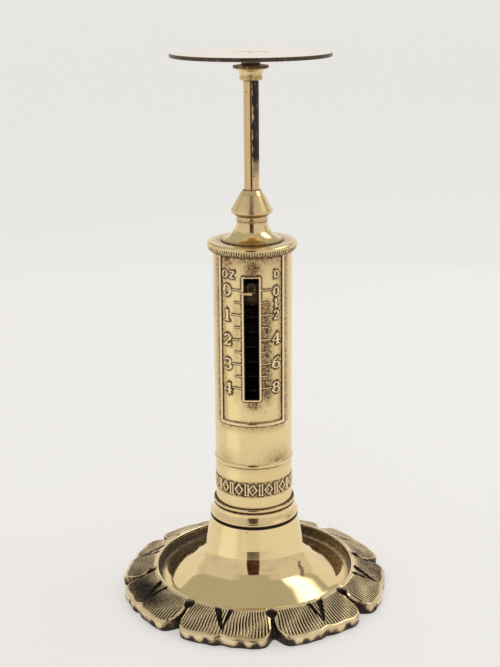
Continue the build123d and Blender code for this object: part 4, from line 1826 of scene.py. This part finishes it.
    def dress(self, brass: bpy.types.Material) -> None:
        """Make the column and finish it.

        Args:
            brass: The turned brass, for the bead ring.
        """
        tube = Brass(
            "column_brass",
            Grain.DRAWN,
            tarnish=(0.065, 0.036, 0.02),
            gloss=0.17,
            cloud_share=0.4,
            crevice_reach=0.7,
            crevice_share=1.1,
            stain="stain",
            stain_break=0.6,
        ).material()
        marks = Brass(
            "raised_brass",
            Grain.DRAWN,
            colour=(0.90, 0.74, 0.44),
            gloss=0.14,
            crevice_reach=0.35,
            crevice_share=0.6,
        ).material()
        dress(self.build_tube(), tube, "stand", "column_brass", "column_tube")
        panel = self.panel_radius
        for name, strokes, radius, nodes in (
            ("slot_frame_bead", self.frame_strokes(), panel, ("slot_frame",)),
            ("scale_lines", self.scale_strokes(), panel, ()),
            ("scale_numerals", self.numeral_strokes(), panel, ()),
            ("panel_border", self.border_strokes(), self.radius, ()),
            ("band_ornament", self.band_strokes(), self.radius - self.band_sink, ()),
        ):
            dress(raised(name, strokes, radius), marks, "stand", "column_brass", *nodes)
        dress(self.build_bead(), brass, "stand", "turned_brass", "tube_bead")


# == The cap


@dataclass
class Cap:
    """The milled ring and the turned finial that guides the rod."""

    flutes: int = 108
    flute_depth: float = 0.2
    columns_per_flute: int = 6
    rod_bore: float = 2.22
    spigot: float = 7.0
    ring_spigot: float = 10.35
    neck: float = 4.43
    cone: float = 5.95
    ring: Extent = field(default_factory=lambda: Extent.of("milled_cap_ring"))
    finial: Extent = field(default_factory=lambda: Extent.of("cap_finial"))
    tube: Extent = field(default_factory=lambda: Extent.of("column_tube"))

    def build_ring(self) -> bpy.types.Object:
        """Make the ring, with flutes cut in its edge.

        Returns:
            The ring.
        """
        seat, top, radius = self.tube.top, self.ring.top, self.ring.radius
        bore, spigot = self.spigot + 0.05, self.ring_spigot
        crown = arc((radius, top - 0.95), (radius - 0.28, top - 0.28), (radius - 0.95, top), 8)
        edge = [
            (self.tube.radius + 0.15, seat, 0.0),
            (self.tube.radius + 0.75, seat + 0.25, 0.3),
            (radius - 0.35, seat + 0.6, 1.0),
            (radius - 0.12, seat + 1.15, 1.0),
            (radius - 0.02, seat + 1.6, 1.0),
            (radius, seat + 1.85, 0.55),
        ]
        section = edge + [(r, z, 0.0) for r, z in crown]
        section += [(9.1, top - 0.02, 0.0), (bore, top, 0.0), (bore, self.ring.bottom, 0.0)]
        section += [(spigot, self.ring.bottom, 0.0), (spigot, seat, 0.0)]
        rows = np.array(section)
        columns = self.flutes * self.columns_per_flute
        turn = np.linspace(0, math.tau, columns, endpoint=False)[:, None]
        wave = 0.5 - 0.5 * np.cos(turn * self.flutes)
        radii = rows[None, :, 0] - self.flute_depth * rows[None, :, 2] * wave
        points = around(radii, turn, np.broadcast_to(rows[None, :, 1], radii.shape))
        shade = np.clip(1 - (rows[None, :, 1] - seat) / 1.1, 0, 1) * (rows[None, :, 0] > 10.5)
        seam = bump_at(rows[None, :, 0], 9.1, 0.4) * (rows[None, :, 1] > seat)
        stain = rows[None, :, 2] * wave * 1.2 + shade * 0.8 + seam * 0.45
        faces = grid_faces(columns, len(rows), True, True)
        return mesh_object("cap_ring_milled", points, faces, 50.0, stain=stain)

    def build_finial(self) -> bpy.types.Object:
        """Make the finial.

        Returns:
            The finial.
        """
        foot, top, bottom = self.ring.top, self.finial.top, self.finial.bottom
        neck_low = foot + 5.6
        neck_high = neck_low + 1.4
        cone_low = neck_high + 0.8
        base = self.finial.radius
        flare = arc(
            (base - 0.15, foot + 0.35), (self.neck + 1.2, foot + 2.35), (self.neck, neck_low), 22
        )
        outline = [(self.rod_bore, top - 0.1), (self.rod_bore, bottom), (self.spigot, bottom)]
        outline += [(self.spigot, foot), (base - 0.12, foot), (base, foot + 0.12)]
        outline += [(base - 0.02, foot + 0.27)]
        outline += flare
        outline += arc(
            (self.neck + 0.02, neck_low + 0.12), (self.neck + 0.2, neck_low + 0.3),
            (self.neck + 0.02, neck_low + 0.5), 5,
        )
        outline += rounded(
            [
                (self.neck, neck_low + 0.55),
                (self.neck, neck_high, 0.3),
                (self.neck + 0.45, neck_high + 0.3, 0.2),
                (self.cone - 0.3, cone_low, 0.2),
                (self.cone, cone_low + 0.3, 0.25),
                (self.cone, cone_low + 0.85, 0.35),
                (self.rod_bore + 1.25, top - 1.2, 1.1),
                (self.rod_bore + 0.45, top, 0.12),
                (self.rod_bore + 0.08, top),
            ],
            closed=False,
        )
        return turned("finial_turned", outline, 160, self.finial_stain)

    def finial_stain(self, at: Places) -> np.ndarray:
        """Where the finial is tarnished: a film on its cone, and dark corners.

        Args:
            at: The places.

        Returns:
            The stain at each.
        """
        foot, top = self.ring.top, self.finial.top
        film = bump_at(at.height, top - 3.0, 2.6) * (0.3 + 0.12 * np.sin(at.turn * 3 + 1.0))
        under = bump_at(at.height, foot + 7.45, 0.45) * 0.75
        corner = bump_at(at.height, foot + 0.3, 0.28) * 0.4
        neck = bump_at(at.height, foot + 5.6, 0.14) * 0.6
        bore = (at.radius < self.rod_bore + 0.3) * 1.0
        return film + under + corner + neck + bore

    def dress(self, brass: bpy.types.Material) -> None:
        """Make the cap and finish it.

        Args:
            brass: The turned brass, for the finial.
        """
        milled = Brass("milled_brass", Grain.TURNED, gloss=0.12, crevice_reach=0.5, stain="stain")
        dress(self.build_ring(), milled.material(), "stand", "turned_brass", "milled_cap_ring")
        dress(self.build_finial(), brass, "stand", "turned_brass", "cap_finial")


# == The moving parts


@dataclass
class Weigher:
    """The pan, boss, rod, carrier and pointer, which sink together under a letter."""

    rod_radius: float = 2.17
    rivet_head: float = 4.7
    pan: Extent = field(default_factory=lambda: Extent.of("pan"))
    rivet: Extent = field(default_factory=lambda: Extent.of("pan_rivet"))
    boss: Extent = field(default_factory=lambda: Extent.of("pan_boss"))
    rod: Extent = field(default_factory=lambda: Extent.of("rod"))
    finial: Extent = field(default_factory=lambda: Extent.of("cap_finial"))
    pointer_height: float = 0.75

    def build_pan(self) -> bpy.types.Object:
        """Make the pan, with softened edges and the seat of its rivet.

        Returns:
            The pan.
        """
        low, high, edge = self.pan.bottom, self.pan.top, self.pan.radius
        seat = self.rivet_head + 0.06
        outline = rounded(
            [
                (1.45, low),
                (edge, low, 0.3),
                (edge, high, 0.22),
                (seat + 0.12, high, 0.05),
                (seat, high - 0.14, 0.03),
                (seat, high - 0.6),
                (1.45, high - 0.6),
            ]
        )
        return turned("pan_disc", outline, 256, sharp_angle=60.0)

    def build_rivet(self) -> bpy.types.Object:
        """Make the rivet, with its flush head.

        Returns:
            The rivet.
        """
        low, high = self.rivet.bottom, self.pan.top
        outline = rounded(
            [
                (0.0, low),
                (1.4, low),
                (1.4, high - 0.6),
                (self.rivet_head, high - 0.6),
                (self.rivet_head, high - 0.03, 0.16),
                (0.9, high - 0.03, 0.1),
                (0.75, high - 0.13, 0.1),
                (0.0, high - 0.13),
            ]
        )
        return turned("pan_rivet_head", outline, 128)

    def build_boss(self) -> bpy.types.Object:
        """Make the boss under the pan.

        Returns:
            The boss.
        """
        low, high, lip = self.boss.bottom, self.boss.top, self.boss.radius
        foot = self.rod_radius + 1.1
        socket = low + 2.45
        tip = (lip - 0.35, low + 3.12)
        cove = arc((foot - 0.12, low + 1.3), (foot + 0.28, low + 2.45), tip, 12)
        outline = [(1.45, socket), (self.rod_radius + 0.05, socket), (self.rod_radius + 0.05, low)]
        outline += arc((foot - 0.35, low), (foot, low + 0.5), (foot - 0.1, low + 1.1), 8)
        outline += cove
        outline += rounded(
            [
                (lip - 0.2, low + 3.2),
                (lip, low + 3.45, 0.12),
                (lip, low + 4.0, 0.2),
                (lip - 0.8, low + 4.05, 0.2),
                (2.65, low + 4.3, 0.2),
                (2.55, high),
                (1.45, high),
            ],
            closed=False,
        )
        return turned("boss_turned", outline, 160, self.boss_stain)

    def boss_stain(self, at: Places) -> np.ndarray:
        """Where the boss is tarnished: its lip and its lower bead.

        Args:
            at: The places.

        Returns:
            The stain at each.
        """
        lip = np.clip((at.height - self.boss.bottom - 3.05) / 0.25, 0, 1) * 0.95
        bead = np.clip(1 - (at.height - self.boss.bottom) / 1.5, 0, 1) * 0.35
        cove = 0.14 + 0.14 * np.sin(at.turn * 2 + 0.9)
        return np.maximum(lip, bead + cove)

    def build_rod(self) -> bpy.types.Object:
        """Make the rod.

        Returns:
            The rod.
        """
        r, low, high = self.rod_radius, self.rod.bottom, self.rod.top
        levels = np.linspace(low + 0.3, high - 0.3, 40)
        outline = [(0.0, low), (r - 0.3, low)] + [(r, z) for z in levels]
        outline += [(r - 0.3, high), (0.0, high)]
        return turned("rod_drawn", outline, 96)

    def build_pointer(self) -> bpy.types.Object:
        """Make the pointer's foot, arm and tapered blade in one bent strip.

        Returns:
            The pointer.
        """
        low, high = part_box("pointer")
        back, front = high.y / MM, low.y / MM
        left, bottom, top = low.x / MM, low.z / MM, high.z / MM
        mid, half = bottom + self.pointer_height / 2, self.pointer_height / 2
        thick = 0.5
        blade = [
            (left, mid - 0.2, 0.12), (-0.6, mid - half, 0.2), (0.3, mid - half, 0.15),
            (0.3, mid + half, 0.15), (-0.6, mid + half, 0.2), (left, mid + 0.2, 0.12),
        ]
        foot = [(-1.2, bottom, 0.3), (1.2, bottom, 0.3), (1.2, top, 1.0), (-1.2, top, 1.0)]
        arm = [(-0.3, bottom), (0.3, bottom), (0.3, bottom + 2 * half), (-0.3, bottom + 2 * half)]
        points, faces, count = [], [], 0
        for outline, near, far in (
            (rounded(blade), front, front + thick),
            (rounded(foot), back - 0.7, back),
            (rounded(arm), front + thick + 0.02, back - 0.1),
        ):
            size = len(outline)
            points += [(x, y, z) for y in (near, far) for x, z in outline]
            ends = [tuple(range(size)), tuple(range(2 * size - 1, size - 1, -1))]
            for face in ends + grid_faces(2, size, False, True):
                faces.append(tuple(count + k for k in face))
            count += 2 * size
        place = np.array(points)
        stain = (place[:, 1] > front + thick + 0.01) * 1.6
        return mesh_object("pointer_strip", place, faces, stain=stain)

    def dress(self, brass: bpy.types.Material) -> None:
        """Make the moving parts and finish them.

        Args:
            brass: The turned brass.
        """
        mirror = PanBrass("pan_brass", self.pan.radius).material()
        rod = RodBrass("rod_brass", self.rod_radius, self.finial.top + 1.5, self.boss.bottom)
        dress(self.build_pan(), mirror, "weigher", "pan_brass", "pan")
        dress(self.build_rivet(), mirror, "weigher", "pan_brass", "pan_rivet")
        dress(self.build_boss(), brass, "weigher", "turned_brass", "pan_boss")
        dress(self.build_rod(), rod.material(), "weigher", "turned_brass", "rod")
        pale = Brass("pointer_brass", Grain.DRAWN, gloss=0.2, crevice_share=0.3, stain="stain")
        dress(self.build_pointer(), pale.material(), "weigher", "turned_brass", "pointer")
        dark = Brass(
            "carrier_brass",
            Grain.TURNED,
            colour=(0.075, 0.042, 0.024),
            warm=(0.05, 0.028, 0.016),
            film=(0.04, 0.022, 0.013),
            tarnish=(0.02, 0.012, 0.008),
            gloss=0.36,
        ).material()
        repaint("carrier", dark)
        repaint("rod_nut", dark)
        repaint("pointer_screw", dark)
        repaint("stop_washer", Leather().material())


@dataclass
class Spring:
    """The coil spring, built at its resting length; on the balance it shortens as the pan sinks."""

    wire: float = 0.7
    coils: int = 12
    steps: int = 40
    sides: int = 10
    seat: Extent = field(default_factory=lambda: Extent.of("spring_seat"))
    extent: Extent = field(default_factory=lambda: Extent.of("spring"))
    carrier: Extent = field(default_factory=lambda: Extent.of("carrier"))
    pip: float = 1.2

    def build(self) -> bpy.types.Object:
        """Make the coiled wire.

        Returns:
            The spring.
        """
        half = self.wire / 2
        low, high = self.extent.bottom + half, self.extent.top - half
        coil = self.extent.radius - half
        count = self.coils * self.steps
        share = np.linspace(0, 1, count + 1)
        turn = share * self.coils * math.tau
        height = low + (high - low) * share
        ring = np.linspace(0, math.tau, self.sides, endpoint=False)
        radii = coil + half * np.cos(ring)[None, :]
        heights = height[:, None] + half * np.sin(ring)[None, :]
        points = around(radii + 0 * heights, turn[:, None], heights)
        faces: list[tuple[int, ...]] = list(grid_faces(count + 1, self.sides, False, True))
        faces.append(tuple(range(self.sides)))
        faces.append(tuple(range(count * self.sides, (count + 1) * self.sides))[::-1])
        return mesh_object("spring_coil", points, faces, 60.0)

    def dress(self, brass: bpy.types.Material) -> None:
        """Make the spring and finish it.

        Args:
            brass: The turned brass, for the seat.
        """
        spring = dress(self.build(), SpringSteel().material(), "stand", "blackened_steel", "spring")
        travel = frame["joints"][0]["range_m"][1] / MM
        foot = self.seat.top - self.pip
        length = self.carrier.bottom - foot
        keep = (length - travel) / length
        foot * MM
        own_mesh(spring)
        repaint("spring_seat", brass)


# == The studio


@dataclass(frozen=True)
class Hanging:
    """An upright strip of cloth round the balance, which only reflections show.

    Turns are degrees from the camera towards +X. Sizes are metres.
    """

    name: str
    start: float
    end: float
    distance: float
    cloth: Cloth
    bottom: float = 0.0
    top: float = 0.62
    top_at_end: Optional[float] = None


@dataclass
class Studio:
    """A white tent with an opening for the camera, a pale sheet, a softbox and a fill lamp."""

    camera_turn: float = math.radians(1.9)
    camera_distance: float = 0.3428
    camera_height: float = 0.1817
    camera_pitch: float = math.radians(16.541)
    camera_roll: float = math.radians(-0.445)
    lens: float = 66.16
    shift: float = -0.0043
    ceiling: float = 0.5
    tent_distance: float = 0.43
    card_reach: Point = (90.0, 340.0)
    softbox_place: Sequence[float] = (0.53, 0.10, 0.64)
    softbox_size: Point = (1.15, 0.36)
    softbox_steps: int = 12
    fill_place: Sequence[float] = (0.46, 0.17, 0.75)
    fill_size: Point = (0.5, 0.36)
    fill_power: float = 0.5
    white: Cloth = Cloth("tent_white", (0.74, 0.71, 0.72), (0.66, 0.625, 0.64))
    backdrop: Cloth = Cloth("backdrop", (0.88, 0.85, 0.84), (0.82, 0.79, 0.78))
    gap: Cloth = Cloth("tent_gap", (0.22, 0.2, 0.18), (0.3, 0.27, 0.24))
    room: Cloth = Cloth("dark_room", (0.035, 0.022, 0.016), (0.13, 0.045, 0.03), 9.0)
    bounce: Cloth = Cloth("bounce_card", (1.0, 1.0, 0.97), (0.96, 0.97, 0.93))

    def towards_front(self, distance: float, height: float) -> Vector:
        """A point in front of the balance, in line with the camera.

        Args:
            distance: Distance from the axis, in metres.
            height: Height above the sheet, in metres.

        Returns:
            The point.
        """
        turn = self.camera_turn
        return Vector((math.sin(turn) * distance, -math.cos(turn) * distance, height))

    def add_camera(self) -> None:
        """Set up the camera."""
        data = bpy.data.cameras.new("camera")
        data.lens = self.lens
        data.shift_x = self.shift
        data.clip_start, data.clip_end = 0.01, 60.0
        camera = bpy.data.objects.new("camera", data)
        bpy.context.scene.collection.objects.link(camera)
        camera.location = self.towards_front(self.camera_distance, self.camera_height)
        down = math.sin(self.camera_pitch)
        flat = math.cos(self.camera_pitch)
        turn = self.camera_turn
        look = Vector((-math.sin(turn) * flat, math.cos(turn) * flat, -down))
        camera.rotation_mode = "QUATERNION"
        facing = look.to_track_quat("-Z", "Y").to_matrix().to_4x4()
        rolled = facing @ Matrix.Rotation(self.camera_roll, 4, "Z")
        camera.rotation_quaternion = rolled.to_quaternion()
        bpy.context.scene.camera = camera

    def add_sheet(self) -> None:
        """Lay the pale sheet."""
        turn = np.linspace(0, math.tau, 96, endpoint=False)[:, None]
        rings = np.array([[0.0, 200.0, 1000.0, 20000.0]])
        faces = grid_faces(len(turn), rings.size, True)
        sheet = mesh_object("sheet", around(rings, turn, np.zeros_like(rings)), faces)
        sheet.location.z = -0.00002
        sheet.data.materials.append(Paper().material())

    def keep_to_reflections(self, piece: bpy.types.Object, finish: bpy.types.Material) -> None:
        """Finish a card that only reflections show.

        Args:
            piece: The card.
            finish: Its material.
        """
        piece.data.materials.append(finish)
        piece.visible_camera = False
        piece.visible_diffuse = False
        piece.visible_shadow = False

    def add_card(self, name: str, low: np.ndarray, high: np.ndarray, cloth: Cloth) -> None:
        """Span a card between two rows of points.

        Args:
            name: The card's name.
            low: The first row.
            high: The second row.
            cloth: Its cloth.
        """
        card = mesh_object(name, np.vstack([low, high]), grid_faces(2, len(low)))
        self.keep_to_reflections(card, cloth.material())

    def hang(self, strip: Hanging) -> None:
        """Hang a strip of the tent.

        Args:
            strip: The strip.
        """
        steps = max(2, int(abs(strip.end - strip.start) / 3))
        turn = np.radians(np.linspace(strip.start, strip.end, steps + 1)) + self.camera_turn
        low = around(strip.distance / MM, turn, strip.bottom / MM)
        end_top = strip.top if strip.top_at_end is None else strip.top_at_end
        share = np.linspace(0, 1, steps + 1)
        rim = strip.top + (end_top - strip.top) * share * share * (3 - 2 * share)
        high = around(strip.distance / MM, turn, rim / MM)
        self.add_card(strip.name, low, high, strip.cloth)

    def add_tent(self) -> None:
        """Hang the tent, with an opening in front and gaps, and lay cards with soft edges."""
        wall, front = self.tent_distance, self.tent_distance - 0.02
        for strip in (
            Hanging("tent_front", -42, 42, wall, self.white),
            Hanging("tent_left", -42, -125, wall, self.white, 0.0, 0.62, 0.27),
            Hanging("tent_right", 42, 125, wall, self.white, 0.0, 0.62, 0.27),
            Hanging("backdrop", 125, 235, wall, self.backdrop, 0.0, 0.27),
            Hanging("tent_opening", -17, 10.6, front, self.room),
            Hanging("tent_gap_right", 102, 109, front, self.gap, 0.15, 0.35),
            Hanging("tent_gap_left", -149, -142, front, self.gap, 0.15, 0.3),
        ):
            self.hang(strip)
        for layer, spread in enumerate((7.0, 2.5, -2.0, -6.5)):
            turn = np.radians(np.linspace(-86 - spread, -38 + spread, 14)) + self.camera_turn
            height = 0.5 + 0.3 * layer
            level = 0.79 + 0.07 * layer
            bright, dim = (
                tuple(part * level for part in colour)
                for colour in (self.bounce.bright, self.bounce.dim)
            )
            cloth = Cloth(f"{self.bounce.name}_{layer}", bright, dim)
            near, far = (around(size, turn, height) for size in self.card_reach)
            self.add_card(cloth.name, near, far, cloth)

    def aim(self, piece: bpy.types.Object, place: Sequence[float]) -> None:
        """Put a lamp somewhere, pointing at the foot.

        Args:
            piece: The lamp.
            place: Where it goes, in metres.
        """
        piece.location = place
        piece.rotation_mode = "QUATERNION"
        towards = Vector((0.0, 0.0, 0.03)) - Vector(place)
        piece.rotation_quaternion = towards.to_track_quat("-Z", "Y")

    def add_softbox(self) -> None:
        """Hang the softbox that reflections show, brightest in its middle."""
        steps, size = self.softbox_steps, self.softbox_size
        across, up = np.meshgrid(*(np.linspace(-1, 1, steps + 1),) * 2, indexing="ij")
        flat = [across.ravel() * size[0] / 2, up.ravel() * size[1] / 2, np.zeros(across.size)]
        glow = np.clip(1.25 - np.hypot(across, up) * 1.25, 0, 1)
        faces = grid_faces(steps + 1, steps + 1)
        box = mesh_object("softbox", np.stack(flat, 1) / MM, faces, glow=glow.ravel())
        self.aim(box, self.softbox_place)
        paint = Paint("softbox")
        bright = paint.painted("glow").step(0.0, 0.8)
        glowing = paint.finish(
            Base_Color=(0.0, 0.0, 0.0, 1.0),
            Emission_Color=paint.mix(bright, (0.16, 0.16, 0.15), (1.0, 1.0, 0.96)),
            Emission_Strength=2.8,
        )
        self.keep_to_reflections(box, glowing)

    def add_fill(self) -> None:
        """Hang the lamp that lights matt things only."""
        data = bpy.data.lights.new("fill", "AREA")
        data.shape = "RECTANGLE"
        data.size, data.size_y = self.fill_size
        data.energy = self.fill_power
        light = bpy.data.objects.new("fill", data)
        bpy.context.scene.collection.objects.link(light)
        self.aim(light, self.fill_place)
        light.visible_glossy = False

    def add_tent_light(self) -> None:
        """Light everything from the tent's white walls."""
        scene = bpy.context.scene
        world = bpy.data.worlds.new("tent")
        world.use_nodes = True
        background = world.node_tree.nodes["Background"]
        background.inputs["Color"].default_value = (1.0, 1.0, 0.94, 1.0)
        background.inputs["Strength"].default_value = self.ceiling
        scene.world = world
        scene.view_settings.view_transform = "Standard"

    def build(self) -> None:
        """Set up the whole studio."""
        self.add_camera()
        self.add_sheet()
        self.add_tent()
        self.add_tent_light()
        self.add_softbox()
        self.add_fill()


def main() -> None:
    """Build the balance, piece by piece, and its studio."""
    logging.basicConfig(level=logging.INFO, format="%(name)s: %(message)s")
    finish = Brass(
        "turned_brass", Grain.TURNED, gloss=0.12, crevice_reach=0.9, stain="stain", stain_break=0.4
    )
    turned_brass = finish.material()
    Studio().build()
    PetalRim().dress()
    DishFoot().dress()
    FootFittings().dress(turned_brass)
    Column().dress(turned_brass)
    Cap().dress(turned_brass)
    Weigher().dress(turned_brass)
    Spring().dress(turned_brass)


if __name__ == "__main__":
    main()
